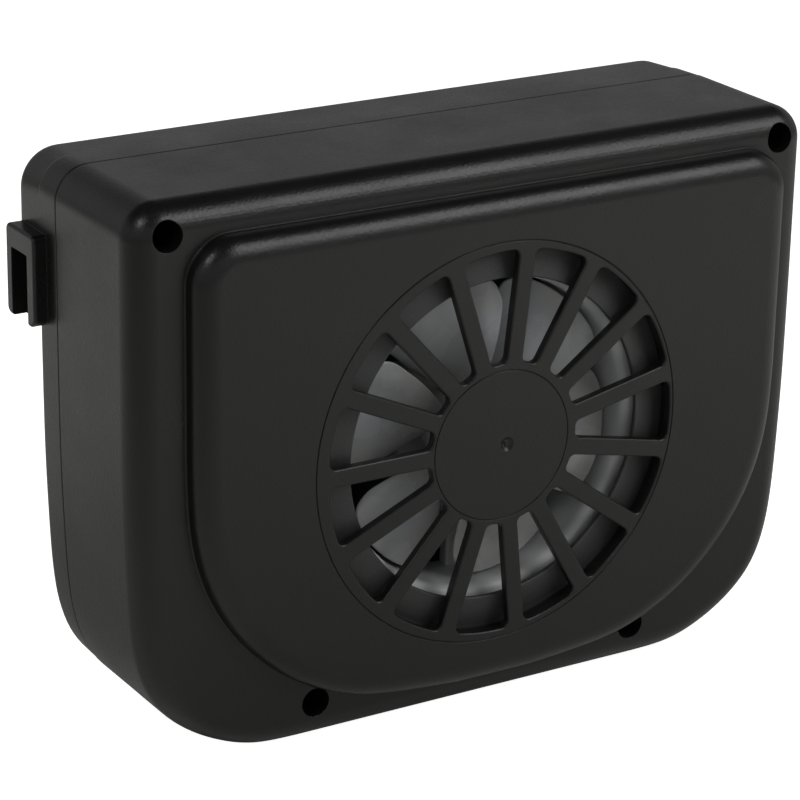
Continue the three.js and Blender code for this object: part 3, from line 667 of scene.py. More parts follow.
def solar_cell():
    """Blue crystal with thin silver fingers across it."""
    shader = Shader("solar_cell")
    place = shader.node("SeparateXYZ")
    shader.feed(place.inputs[0], shader.coord)
    crystal = shader.node("SeparateColor")
    shader.feed(crystal.inputs[0], shader.voronoi(scale=160, output="Color"))
    colour = shader.mix(shader.remap(crystal.outputs[0], span=(0, 1)),
                        (0.006, 0.010, 0.045), (0.012, 0.022, 0.085))
    drift = shader.remap(shader.noise(scale=35), to=(0, 0.5))
    colour = shader.mix(drift, colour, (0.010, 0.012, 0.05))
    finger_pitch = 0.0022
    lifted = shader.math("ADD", place.outputs[2], 1.0)  # keeps the heights above 0
    phase = shader.math("FRACT", shader.math("DIVIDE", lifted, finger_pitch))
    off_centre = shader.math("ABSOLUTE", shader.math("SUBTRACT", phase, 0.5))
    half_finger = 0.045  # share of the pitch
    finger = shader.math("LESS_THAN", off_centre, half_finger)
    colour = shader.mix(finger, colour, (0.42, 0.43, 0.45))
    shader.put("Base Color", colour)
    shader.put("Metallic", shader.math("MULTIPLY", finger, 0.8))
    shader.put("Roughness", shader.remap(shader.noise(scale=300, detail=3), to=(0.22, 0.34)))
    shader.put("Specular IOR Level", 0.6)
    shader.put("Normal", shader.bump(finger, distance=0.00002, strength=0.8))


def board_green():
    """Circuit board with a woven grain and pale edges."""
    shader = Shader("board_green")
    colour = shader.mix(shader.remap(shader.noise(scale=40, detail=3)),
                        (0.008, 0.045, 0.018), (0.014, 0.07, 0.028))
    weave = shader.node("TexWave")
    shader.feed(weave.inputs[0], shader.coord)
    weave.inputs["Scale"].default_value = 420
    normal = shader.edge_normal(0.0002)
    mask = shader.edge_mask(normal)
    colour = shader.mix(shader.math("MULTIPLY", mask, 0.5), colour, (0.22, 0.24, 0.14))
    shader.put("Base Color", colour)
    shader.put("Roughness", shader.remap(shader.noise(scale=200, detail=3), to=(0.28, 0.42)))
    shader.put("Normal", shader.bump(weave.outputs["Fac"], distance=0.00001, strength=0.5,
                                     normal=normal))


def clear_epoxy():
    shader = Shader("clear_epoxy")
    shader.put("Base Color", shader.mix(shader.remap(shader.noise(scale=25)),
                                        (0.97, 0.985, 0.99), (0.94, 0.96, 0.95)))
    shader.put("Transmission Weight", 1.0)
    shader.put("IOR", 1.5)
    gloss = shader.noise(scale=90, detail=4, roughness=0.6)
    shader.put("Roughness", shader.remap(gloss, to=(0.015, 0.07), span=(0.35, 0.7)))
    normal = shader.edge_normal(0.0004)
    waves = shader.noise(scale=35)
    shader.put("Normal", shader.bump(waves, distance=0.0002, strength=0.25, normal=normal))


def foam_black():
    shader = Shader("foam_black")
    cells = shader.voronoi(scale=2600)
    shader.put("Base Color", shader.mix(shader.remap(cells, span=(0, 0.6)),
                                        (0.006, 0.006, 0.006), (0.025, 0.025, 0.025)))
    shader.put("Roughness", shader.remap(shader.noise(scale=80), to=(0.85, 0.97)))
    shader.put("Specular IOR Level", 0.2)
    shader.put("Normal", shader.bump(cells, distance=0.0001))


def wire(name, dark, light):
    shader = Shader(name)
    shader.put("Base Color", shader.mix(shader.remap(shader.noise(scale=90, detail=3)),
                                        dark, light))
    shader.put("Roughness", shader.remap(shader.noise(scale=260, detail=3), to=(0.3, 0.46)))
    shader.put("Normal", shader.bump(shader.noise(scale=1500), distance=0.00002, strength=0.6))


moulded("shell_black", dark=(0.0052, 0.0051, 0.0049), light=(0.0072, 0.0071, 0.0069),
        rough=(0.29, 0.36), level=0.5, wear=(0.02, 0.02, 0.0195), edge=0.00025, specks=0.35)
# painted light: the baffle is the same black plastic as the shell, coloured several times lighter
# than shell_black to stand in for the light that reaches it behind the grille
moulded("baffle_black", dark=(0.034, 0.034, 0.034), light=(0.050, 0.050, 0.050),
        rough=(0.40, 0.50), level=0.5, edge=0)
moulded("nylon", dark=(0.58, 0.54, 0.44), light=(0.68, 0.63, 0.52),
        rough=(0.4, 0.5), level=0.4, wear=(0.8, 0.78, 0.7))
moulded("carbon", dark=(0.02, 0.02, 0.021), light=(0.035, 0.035, 0.037),
        rough=(0.5, 0.65), wear=(0.08, 0.08, 0.08))
translucent("duct_white", dark=(0.60, 0.61, 0.615), light=(0.74, 0.75, 0.755),
            subsurface=0.1, rough=(0.34, 0.44))
translucent("impeller_milky", dark=(0.42, 0.42, 0.385), light=(0.50, 0.525, 0.56),
            subsurface=0.5, rough=(0.22, 0.32))
metal("motor_steel", (0.60, 0.60, 0.58), rough=0.30, stretch=(1, 14, 1))
metal("screw_steel", (0.30, 0.295, 0.285), rough=0.34)
metal("sintered_bronze", (0.46, 0.30, 0.16), rough=0.48, blotch=0.3, grain=0.00003)
metal("terminal_brass", (0.68, 0.50, 0.24), rough=0.28, stretch=(3, 1, 1))
metal("lamination_steel", (0.16, 0.15, 0.14), rough=0.45, stretch=(0.4, 9, 0.4), blotch=0.3,
      grain=0.00003, metallic=0.8)
metal("coil_copper", (0.62, 0.25, 0.11), rough=0.26, blotch=0.25)
metal("ferrite", (0.06, 0.058, 0.055), rough=0.55, blotch=0.3, grain=0.00003, metallic=0.2)
metal("tinned_ribbon", (0.62, 0.63, 0.64), rough=0.25, stretch=(1, 1, 6), blotch=0.12)
solar_cell()
board_green()
clear_epoxy()
foam_black()
wire("wire_red", dark=(0.36, 0.015, 0.012), light=(0.50, 0.03, 0.02))
wire("wire_black", dark=(0.012, 0.012, 0.012), light=(0.025, 0.025, 0.025))

# ------------------------------------------------------------------ outlines of the case
# lower right half of each outline, x and z, from the bottom up
HOUSING_LOWER = [
    (38, BOTTOM_Z), (43.5, -56.35), (50.3, -55.75), (57.9, -52.85), (64.5, -48.7), (70.0, -42.9),
    (73.1, -35.4), (74.5, -26.5), (75.2, -14.0), (75.65, 0.0), (HALF_WIDTH, 20.0)]
PANEL_LOWER = [
    (8, -50.2), (20, -49.3), (30, -47.9), (38, -45.1), (46.3, -40.4), (52.4, -35.0),
    (56.9, -29.9), (60.6, -24.2), (63.2, -18.6), (65.1, -12.4), (66.3, -4.5),
    (PANEL_HALF_WIDTH, 6.0)]
HOUSING = mirrored_outline(HOUSING_LOWER, TOP_Z, TOP_CORNER)
HOOD = mirrored_outline(HOUSING_LOWER, TOP_Z, HOOD_TOP_CORNER)
PANEL = mirrored_outline(PANEL_LOWER, PANEL_TOP_Z, PANEL_CORNER) + np.array((FAN_X, 0.0))
REAR = inset(HOUSING, 0.1)

# ------------------------------------------------------------------ front shell
PANEL_Y = -PANEL_PROUD              # face of the panel
GRILLE_BACK = PANEL_Y + SPOKE_DEPTH
COLLAR_INNER = 39.75


def slot_outline(number, growth):
    """One slot of the grille, corners rounded, counter-clockwise, grown by growth."""
    start = math.radians(SPOKE_PHASE + 360 / SPOKES * number)
    end = start + 2 * math.pi / SPOKES
    outer_shift = math.asin(SPOKE_WIDTH / 2 / SLOT_OUTER)
    inner_shift = math.asin(SPOKE_WIDTH / 2 / SLOT_INNER)
    outer_cut, inner_cut = 1.5, 1.1  # length each corner takes off its sides
    points = []

    def polar(radius, angle):
        return np.array((radius * math.cos(angle), radius * math.sin(angle)))

    def toward(here, there, distance):
        return here + (there - here) * distance / np.linalg.norm(there - here)

    def corner(a, b, c):
        weight = 0.72  # close to a circular arc
        for t in np.linspace(0, 1, 7):
            u = 1 - t
            total = u * u + 2 * u * t * weight + t * t
            points.append((u * u * a + 2 * u * t * weight * b + t * t * c) / total)

    def arc(radius, first, last, count):
        for t in np.linspace(0, 1, count)[1:-1]:
            points.append(polar(radius, first + (last - first) * t))

    inner_start = start + inner_shift + inner_cut / SLOT_INNER
    inner_end = end - inner_shift - inner_cut / SLOT_INNER
    outer_start = start + outer_shift + outer_cut / SLOT_OUTER
    outer_end = end - outer_shift - outer_cut / SLOT_OUTER
    corner_a = polar(SLOT_INNER, start + inner_shift)
    corner_b = polar(SLOT_OUTER, start + outer_shift)
    corner_c = polar(SLOT_OUTER, end - outer_shift)
    corner_d = polar(SLOT_INNER, end - inner_shift)
    corner(polar(SLOT_INNER, inner_start), corner_a, toward(corner_a, corner_b, inner_cut))
    corner(toward(corner_b, corner_a, outer_cut), corner_b, polar(SLOT_OUTER, outer_start))
    arc(SLOT_OUTER, outer_start, outer_end, 9)
    corner(polar(SLOT_OUTER, outer_end), corner_c, toward(corner_c, corner_d, outer_cut))
    corner(toward(corner_d, corner_c, inner_cut), corner_d, polar(SLOT_INNER, inner_end))
    arc(SLOT_INNER, inner_end, inner_start, 4)
    return inset(np.array(points), -growth) + np.array((FAN_X, FAN_Z))


def slot_tool(number):
    """Cutter with flared ends, so that the slot's rims come out rounded on both faces."""
    angles = [math.radians(a) for a in (10, 28, 46, 64, 90)]
    front, back = rim(0.42, angles), rim(0.3, angles)
    stations = [(front[0][0], PANEL_Y - 1.5)]  # growth, y
    stations += [(growth, PANEL_Y + depth) for growth, depth in front]
    stations += [(growth, GRILLE_BACK - depth) for growth, depth in reversed(back)]
    stations.append((back[0][0], GRILLE_BACK + 1.2))
    return skin([(slot_outline(number, growth), y) for growth, y in stations])


def groove_tool(x, z, radius, half_width, depth):
    """A V-shaped witness line cut in the panel's face."""
    y = PANEL_Y
    return lathe([(radius - half_width, y - 0.4), (radius + half_width, y - 0.4),
                  (radius + half_width, y), (radius + 0.05, y + depth),
                  (radius - 0.05, y + depth), (radius - half_width, y)], 220, x, z)


def gate_tool():
    """The round mark of the mould's gate; radius, y, corner radius."""
    y = PANEL_Y
    profile = [(0, y - 1, 0), (1.7, y - 1, 0), (1.5, y + 0.02, 0), (0.9, y + 0.5, 0.25),
               (0.45, y + 0.55, 0.1), (0.35, y + 0.25, 0.1), (0, y + 0.22, 0)]
    return lathe(fillet(profile, 4, closed=False), 28, 2.2, -0.2)


def front_skin():
    """The bare shell: panel, rim and side, then back along the inside."""
    edge = rim(PANEL_ROUND, quarter(14), PANEL_ROUND_DEPTH)
    rings = stack(PANEL, [(distance, PANEL_Y + depth) for distance, depth in edge])
    # foot of the panel, flaring onto the flat rim
    rings += stack(PANEL, [(0.0, -0.45), (-0.13, -0.13), (-0.45, 0.0)])
    rings += stack(HOUSING, rim(RIM_ROUND, quarter(14)) + [(0.0, 20.0)])
    rings += stack(HOUSING, back_rim(SEAM_ROUND, 0, SEAM_Y - SEAM_ROUND, (0, 30, 60, 90)))
    rings += stack(HOUSING, [(WALL - 0.2, SEAM_Y), (WALL, SEAM_Y - 0.2), (WALL, 6.4),
                             (3.0, 4.2), (4.6, 3.0), (5.8, 2.4)])
    rings += stack(PANEL, [(2.4, 2.4), (2.6, 1.6), (2.6, PANEL_Y + 3.8), (4.2, PANEL_Y + 2.4)])
    return skin(rings)


def front_shell():
    body = front_skin()
    # screw towers, kept inside the shell's outer skin
    margin = 0.6
    limit = [(distance + margin, y + margin)
             for distance, y in rim(RIM_ROUND - margin, quarter(8))]
    trim = skin(stack(HOUSING, limit + [(margin, TOWER_END)]))
    towers = rods(CASE_SCREW_PLACES, 4.6, (0.8, TOWER_END), 40)
    body = union(body, meet(towers, trim))
    # collar behind the slots, bosses for the duct
    collar = [(COLLAR_INNER, -3.4), (42.2, -3.4), (42.2, -1.15), (42.05, -1.0), (39.9, -1.0),
              (COLLAR_INNER, -1.15)]
    body = union(body, lathe(collar, 180))
    body = union(body, rods(EARS, 3.4, (-3.2, 2.7), 32, edge=0.3))
    body = cut(body, rods(EARS, 1.35, (-1.6, 3.4), 20))
    # the recess that thins the grille, and its slots
    body = cut(body, rod(FAN_X, FAN_Z, COLLAR_INNER, (GRILLE_BACK, 2.0), 180))
    body = cut(body, joined([slot_tool(k) for k in range(SPOKES)]))
    # wide bores from the front, pilot holes at the towers' ends
    body = cut(body, rods(CASE_SCREW_PLACES, 3.0, (-1.0, TOWER_END - 2), 56))
    body = cut(body, rods(CASE_SCREW_PLACES, 1.7, (TOWER_END - 3, TOWER_END + 1), 24))
    # witness lines of the mould insert, and its gate
    body = cut(body, groove_tool(0.6, 0.1, radius=40.95, half_width=0.17, depth=0.24))
    body = cut(body, groove_tool(1.0, -0.2, radius=15.3, half_width=0.15, depth=0.2))
    return cut(body, gate_tool())


# ------------------------------------------------------------------ rear shell
BEYOND = (-90, 90)                  # x span of tools that pass right through the housing
REAR_FRONT = SEAM_Y + 0.3
# inset and y of the softened front edge
REAR_START = [(0.3, REAR_FRONT), (0.09, REAR_FRONT + 0.09), (0.0, REAR_FRONT + 0.3)]
# side frame: y, z, corner radius
SOCKET_SHAPE = [(35.7, 25.4, 1.3), (37.6, 24.0, 0.9), (41.0, 24.2, 0.4), (47.8, 24.2, 1.5),
                (47.8, 42.3, 1.3), (35.7, 42.3, 1.1)]


def low_body():
    """The shell's full outline, up to the wall with the window."""
    stations = REAR_START + [(0.22, REAR_Y - 2.2)]
    stations += back_rim(1.7, 0.25, REAR_Y - 1.7, range(0, 91, 11))
    return skin(stack(REAR, stations + [(1.95, REAR_Y)]))


def hood_body():
    """The deeper body above the lip, drawn in slightly towards the back."""
    back = inset(HOOD, 0.1)
    draft = 0.5
    side_start, side_end = REAR_FRONT + 0.3, HOOD_Y - HOOD_ROUND
    rings = stack(REAR, REAR_START)
    for f in (0.25, 0.5, 0.75, 1.0):
        points = inset(REAR, draft * f) * (1 - f) + inset(back, draft * f) * f
        rings.append((points, side_start + (side_end - side_start) * f))
    rings += stack(back, back_rim(HOOD_ROUND, draft, side_end, range(9, 91, 9)))
    return meet(skin(rings), block(BEYOND, (25, 60), (LIP_Z, 70)))


def socket_frame(side):
    """The frame that stands out of the housing's side at the glass channel."""
    base = np.array(fillet(SOCKET_SHAPE, 6))
    rounding = rim(0.6, quarter(4))
    rings = stack(base, [(distance, SOCKET_X - depth) for distance, depth in rounding])
    rings.append((base, 71.5))
    n = len(base)
    verts = [(side * x, p[0], p[1]) for points, x in rings for p in points]
    faces = []
    for ring in range(len(rings) - 1):
        for i in range(n):
            a, b = ring * n + i, ring * n + (i + 1) % n
            faces.append((a, a + n, b + n, b) if side > 0 else (a, b, b + n, a + n))
    last = (len(rings) - 1) * n
    onward, backward = list(range(n)), list(reversed(range(n)))
    first_cap, last_cap = (onward, backward) if side > 0 else (backward, onward)
    faces += [first_cap, [last + i for i in last_cap]]
    return make(verts, faces)


def window_tool():
    """Cutter for the cells' window, flared for a rounded rim at the back."""
    base = rounded_rect(WINDOW_XS, WINDOW_ZS, 2.0, 10)
    flare = rim(0.7, [math.radians(8)] + quarter(6)[1:])
    rings = [(base, REAR_Y - 4)]
    rings += stack(base, [(-growth, REAR_Y - depth) for growth, depth in reversed(flare)])
    rings.append((rings[-1][0], REAR_Y + 1))
    return skin(rings)


def louvre_tools():
    """Three rows of exhaust louvres, sloping down and out."""
    shape = np.array(fillet([(-16, -1, 1.0), (16, -1, 1.0), (16, 1, 1.0), (-16, 1, 1.0)], 6))
    slope = Matrix.Rotation(math.radians(-25), 4, "X")
    tools = []
    for z in (41.6, 45.2, 48.8):
        for x in (-38, 0, 38):
            place = Matrix.Translation((x, HOOD_Y - 1.2, z + 1.1))
            tools.append(moved(skin([(shape, -4.5), (shape, 4.5)]), place @ slope))
    return joined(tools)


def rear_shell():
    body = union(low_body(), hood_body())
    body = union(body, *[socket_frame(side) for side in (-1, 1)])
    # tongue that reaches forward inside the front shell
    body = union(body, skin(stack(HOUSING, [(2.75, 28.4), (2.6, 29.2), (2.6, 33.0)])))
    hollow = [(3.9, 28.0), (3.9, 33.2), (3.0, 34.2), (3.2, REAR_Y - 2)]
    body = cut(body, skin(stack(HOUSING, hollow)))
    hollow = skin(stack(HOUSING, [(3.1, 34.2), (3.6, 45.2), (5.0, HOOD_Y - 2.1)]))
    body = cut(body, meet(hollow, block(BEYOND, (30, 60), (CHANNEL_TOP + 2, 70))))
    # glass channel with small fillets at its ceiling
    channel = fillet([(REAR_Y, 10.0, 0), (CHANNEL_Y, 10.0, 0), (CHANNEL_Y, CHANNEL_TOP, 0.5),
                      (REAR_Y, CHANNEL_TOP, 0.5)], 4)
    body = cut(body, bar_along_x(BEYOND, channel))
    # pocket for the end of a weather strip in each socket
    pocket_back = CHANNEL_Y - 0.1
    pocket = fillet([(POCKET_Y, LIP_Z, 0), (pocket_back, LIP_Z, 0),
                     (pocket_back, CHANNEL_TOP, 0.4), (POCKET_Y, CHANNEL_TOP, 0.4)], 4)
    for xs in ((-90.0, -POCKET_X), (POCKET_X, 90.0)):
        body = cut(body, bar_along_x(xs, pocket))
    # screw bosses
    boss_front = TOWER_END + 0.6
    trim = skin(stack(HOUSING, [(2.7, boss_front), (2.7, HOOD_Y - 1.2)]))
    bosses = joined([rod(x, z, 3.7, (boss_front, HOOD_Y - 1.5 if z > 0 else REAR_Y - 1.2), 36)
                     for x, z in CASE_SCREW_PLACES])
    body = union(body, meet(bosses, trim))
    body = cut(body, rods(CASE_SCREW_PLACES, 1.65, (TOWER_END - 0.5, 34.5), 24))
    body = cut(body, window_tool())
    body = cut(body, rods(SOLAR_HOLES, 1.15, (REAR_Y - 3, REAR_Y - 0.8), 20))
    return cut(body, louvre_tools())


# ------------------------------------------------------------------ fan
# turned profiles: radius, y, corner radius where there is a third column
BAFFLE = [(32.8, -2.2, 0.35), (39.2, -0.7, 2.0), (41.6, -0.7, 0.2), (41.6, 0.5, 0.2),
          (39.0, 0.5, 1.0), (32.8, -1.0, 0.45)]
DUCT = [(43.0, 0.95), (42.85, 0.8), (34.9, 0.8), (34.0, 0.84), (33.3, 0.98), (32.7, 1.25),
        (32.25, 1.65), (31.95, 2.2), (31.82, 2.9), (31.8, 3.6), (31.8, 15.2), (32.1, 15.5),
        (33.1, 15.5), (33.4, 15.2), (33.4, 3.6), (33.6, 3.15), (34.1, 3.0), (42.85, 3.0),
        (43.0, 2.85)]
MOTOR_CUP = [(4.2, 14.0, 0.3), (14.3, 14.0, 0.9), (14.3, 21.0, 0.3), (12.7, 21.0, 0.3),
             (12.7, 15.6, 0.5), (4.2, 15.6, 0.2)]
HUB = [(0, 2.2, 0), (3.6, 2.32, 2), (7.2, 2.95, 3), (9.4, 4.7, 1.6), (9.4, 11.2, 0.25),
       (8.0, 11.2, 0.25), (8.0, 6.0, 0.8), (3.2, 5.4, 0.4), (3.2, 11.2, 0.25), (0, 11.2, 0)]

BLADES = 6
BLADE_ROOT = 8.6                    # radius, inside the hub
BLADE_WIDTHS = [20, 25.4, 28.0, 28.6, 28.4, 26.0]  # half angle in degrees, root to tip
BLADE_Y = 7.4
BLADE_HALF_THICKNESS = 0.55
SPAN_STEPS = 30
CHORD_STEPS = 26


def fan_duct():
    duct = lathe(DUCT, 200)
    for (x, z), angle in zip(EARS, EAR_ANGLES):
        ear = placed(slab(rounded_rect((-7.2, 0.8), (-3.68, 3.68), 0.3), (3.02, 5.18), 0.25),
                     angle, x=x, z=z)
        web = placed(slab(rounded_rect((-9.5, -4.1), (-3.62, 3.62), 0.3), (1.4, 4.4)),
                     angle, x=x, z=z)
        duct = union(duct, rod(x, z, 3.7, (3.0, 5.2), 40, edge=0.3), ear, web)
    duct = union(duct, lathe(fillet(MOTOR_CUP)))
    for angle in (30, 150, 270):
        strut = slab(rounded_rect((13.4, 32.7), (-1.6, 1.6), 0.2), (12.5, 15.45), 0.6, 5)
        duct = union(duct, placed(strut, math.radians(angle)))
    return cut(duct, joined([rods(EARS, 1.7, (-1, 8), 24), rods(MOTOR_SCREWS, 1.3, (13, 17), 24)]))


def blade(number):
    """A dished, twisted blade as a front and a back sheet of points, closed round the rim."""
    widths = np.array(BLADE_WIDTHS, float)
    root_angle = math.radians(360 // BLADES * number + 45)
    front, back = [], []
    for i in range(SPAN_STEPS + 1):
        u = 1 - (1 - i / SPAN_STEPS) ** 1.35  # 0 at the root, 1 at the tip, closer there
        radius = BLADE_ROOT + (TIP_RADIUS - BLADE_ROOT) * u
        half_angle = math.radians(float(spline_at(widths, u)))
        pitch = 3.5 - 1.2 * u
        for j in range(CHORD_STEPS + 1):
            v = -math.cos(math.pi * j / CHORD_STEPS)  # -1 and 1 at the blade's two edges
            angle = root_angle + math.radians(3 * u) + v * half_angle
            dish = 1.1 * (1 - v * v) * (0.4 + u)
            y = BLADE_Y + v * pitch * (half_angle / math.radians(29.6)) - dish
            # thinner at the edges, at the very tip, and outward
            thin_edge = 0.30 + 0.70 * math.sqrt(max(0.0, 1 - abs(v) ** 9))
            thin_tip = 1 if i < SPAN_STEPS else 0.4
            half = BLADE_HALF_THICKNESS * thin_edge * thin_tip * (1 - 0.25 * u)
            rounded = radius - 2.4 * abs(v) ** 7 * u ** 6  # the tip's corners are rounded off
            x, z = FAN_X + rounded * math.cos(angle), FAN_Z + rounded * math.sin(angle)
            front.append((x, y - half, z))
            back.append((x, y + half, z))
    row = CHORD_STEPS + 1

    def index(sheet, i, j):
        return sheet * len(front) + i * row + j

    faces = []
    for i in range(SPAN_STEPS):
        for j in range(CHORD_STEPS):
            faces.append((index(0, i, j), index(0, i + 1, j),
                          index(0, i + 1, j + 1), index(0, i, j + 1)))
            faces.append((index(1, i, j), index(1, i, j + 1),
                          index(1, i + 1, j + 1), index(1, i + 1, j)))
    border = [(0, j) for j in range(CHORD_STEPS)]
    border += [(i, CHORD_STEPS) for i in range(SPAN_STEPS)]
    border += [(SPAN_STEPS, j) for j in range(CHORD_STEPS, 0, -1)]
    border += [(i, 0) for i in range(SPAN_STEPS, 0, -1)]
    for here, there in zip(border, border[1:] + border[:1]):
        faces.append((index(0, *here), index(0, *there), index(1, *there), index(1, *here)))
    return make(front + back, faces)


def impeller():
    hub = lathe(fillet(HUB, 6, closed=False))
    hub = union(hub, joined([blade(k) for k in range(BLADES)]))
    return cut(hub, rod(FAN_X, FAN_Z, 1.3, (3.6, 13), 32))


# ------------------------------------------------------------------ screws
CASE_SCREW = dict(head_radius=2.5, head_depth=2.0, shank_radius=1.3, length=13)
DUCT_SCREW = dict(head_radius=2.2, head_depth=1.6, shank_radius=1.0, length=6)
MOTOR_SCREW = dict(head_radius=1.7, head_depth=1.2, shank_radius=0.85, length=2.9)
SOLAR_SCREW = dict(head_radius=1.9, head_depth=1.2, shank_radius=0.85, length=3.6)


def screw(x, z, y, head_radius, head_depth, shank_radius, length):
    """A cross-head screw: the head's face at y, the point towards +Y, ridges for its thread."""
    neck = y + head_depth
    tip = neck + length
    profile = fillet([
        (0, y, 0),
        (head_radius * 0.62, y + head_depth * 0.02, head_radius * 0.5),
        (head_radius, y + head_depth * 0.42, head_radius * 0.3),
        (head_radius, neck, 0.12),
        (shank_radius * 0.82, neck, 0.08),
        (shank_radius * 0.82, neck + 0.5, 0)], 4, closed=False)
    pitch, thread_end = shank_radius * 0.75, tip - 0.9
    ridge = neck + 0.5
    while ridge + pitch < thread_end:
        profile += [(shank_radius * 0.8, ridge + pitch * 0.25),
                    (shank_radius, ridge + pitch * 0.5),
                    (shank_radius, ridge + pitch * 0.6),
                    (shank_radius * 0.8, ridge + pitch * 0.85)]
        ridge += pitch
    profile += [(shank_radius * 0.75, thread_end), (shank_radius * 0.3, tip - 0.15), (0, tip)]
    body = lathe(profile, 36, x, z)
    half_width, half_length = head_radius * 0.2, head_radius * 0.62
    bar = np.array([(-half_length, -half_width), (half_length, -half_width),
                    (half_length, half_width), (-half_length, half_width)])
    for turn in (0.3, 0.3 + math.pi / 2):
        tool = skin([(bar * 1.02, -0.5), (bar, 0.05), (bar * (0.45, 0.6), head_depth * 0.72)])
        body = cut(body, placed(tool, turn, x, y, z))
    return body


# ------------------------------------------------------------------ motor
CAN_FRONT = 15.9
CORE_YS = (18.4, 23.0)
CORE_MIDDLE = (CORE_YS[0] + CORE_YS[1]) / 2
BORE = 1.3                          # radius of the holes the shaft passes through
TERMINAL_REACH = 7.6                # from the axis to the terminals and their slots
POLES = [math.radians(90 + 120 * k) for k in range(3)]

# turned profiles: radius, y, corner radius
CAN = [(2.9, CAN_FRONT - 1.5, 0.1), (3.7, CAN_FRONT - 1.5, 0.2), (3.7, CAN_FRONT, 0.3),
       (12.2, CAN_FRONT, 1.0), (12.2, 27.0, 0.15), (11.5, 27.0, 0.1),
       (11.5, CAN_FRONT + 0.8, 0.4), (2.9, CAN_FRONT + 0.8, 0.1)]
END_CAP = [(2.9, 27.3, 0.1), (12.1, 27.3, 0.2), (12.1, 28.7, 0.4), (4.2, 28.7, 0.4),
           (4.2, 29.6, 0.2), (2.9, 29.6, 0.1)]
SHAFT = [(0, 4.2, 0), (0.85, 4.2, 0.1), (1.0, 4.45, 0.1), (1.0, 29.85, 0.1), (0.85, 30.1, 0.1),
         (0, 30.1, 0)]
COMMUTATOR = [(BORE, 24.4, 0.05), (2.6, 24.4, 0.15), (2.6, 26.9, 0.15), (BORE, 26.9, 0.05)]


def arc_outline(outer, inner, centre, half, count=20):
    """A ring sector about the fan's axis, half radians to each side of centre."""
    start, end = centre - half, centre + half
    steps = [(outer, a) for a in np.linspace(start, end, count)]
    steps += [(inner, a) for a in np.linspace(end, start, count)]
    return np.array([(FAN_X + radius * math.cos(a), FAN_Z + radius * math.sin(a))
                     for radius, a in steps])


def motor_can():
    holes = rods(MOTOR_SCREWS, 1.15, (CAN_FRONT - 1, CAN_FRONT + 1.5), 28)
    return cut(lathe(fillet(CAN), 120), holes)


def end_cap():
    """Cap with a slot for each terminal."""
    centres = [FAN_X + side * TERMINAL_REACH for side in (-1, 1)]
    slots = joined([block((x - 1.0, x + 1.0), (27, 29), (FAN_Z - 1.8, FAN_Z + 1.8))
                    for x in centres])
    return cut(lathe(fillet(END_CAP, 4), 120), slots)


def bushing(front, back):
    return lathe(fillet([(BORE, front, 0.15), (2.6, front, 0.2), (2.6, back, 0.2),
                         (BORE, back, 0.15)], 4), 64)


def commutator():
    body = lathe(fillet(COMMUTATOR, 3), 72)
    for k in range(3):
        gap = block((2.1, 3.2), (24.2, 26.6), (-0.12, 0.12))
        body = cut(body, placed(gap, math.radians(30 + 120 * k)))
    return body


def armature_core():
    """Three arms with curved shoes, grooved round the outside like a stack of sheets."""
    core = rod(FAN_X, FAN_Z, 3.0, CORE_YS)
    for pole in POLES:
        core = union(core, placed(block((1.0, 7.6), CORE_YS, (-1.1, 1.1)), pole))
        shoe = arc_outline(8.8, 7.2, pole, math.radians(47))
        core = union(core, skin([(shoe, y) for y in CORE_YS]))
    grooves = [lathe([(8.72, y), (9.2, y), (9.2, y + 0.09), (8.72, y + 0.09)], 120)
               for y in np.arange(18.8, 22.9, 0.4)]
    core = cut(core, joined(grooves))
    return cut(core, rod(FAN_X, FAN_Z, BORE, (17, 25), 32))


def coil(pole):
    """An oblong coil whose outer skin shows its turns of wire."""
    outer = rounded_rect((-3.7, 3.7), (-2.3, 2.3), 1.0, 6)
    inner = rounded_rect((-2.6, 2.6), (-1.4, 1.4), 0.4, 6)
    turns, turn_steps = 7, 6
    steps = turn_steps * turns
    stations = []
    for s in range(steps + 1):
        groove = 0.16 * (0.5 - 0.5 * math.cos(2 * math.pi * s / turn_steps))
        stations.append((groove, 3.85 + 2.9 * s / steps))
    winding = cut(skin(stack(outer, stations)), skin([(inner, 3.0), (inner, 8.0)]))
    # built along Y: swapping x and y makes its axis radial
    moved(winding, Matrix(((0, 1, 0, 0), (1, 0, 0, 0), (0, 0, 1, 0), (0, 0, 0, 1))))
    moved(winding, Matrix.Translation((0, CORE_MIDDLE, 0)))
    return placed(winding, pole)


def brush(side):
    xs = sorted((FAN_X + side * 2.95, FAN_X + side * 6.2))
    return slab(rounded_rect(xs, (FAN_Z - 0.9, FAN_Z + 0.9), 0.12, 3), (25.0, 26.3), 0.12)


def terminal(side):
    """An upright tab with a hole through it near its back end."""
    x = FAN_X + side * TERMINAL_REACH
    outline = rounded_rect((x - 0.25, x + 0.25), (FAN_Z - 1.4, FAN_Z + 1.4), 0.1, 3)
    tab = slab(outline, (24.9, 31.6), 0.1)
    across = Matrix.Translation((x, 30.4, FAN_Z)) @ Matrix.Rotation(math.pi / 2, 4, "Z")
    return cut(tab, moved(rod(0, 0, 0.45, (-1, 1), 20), across))


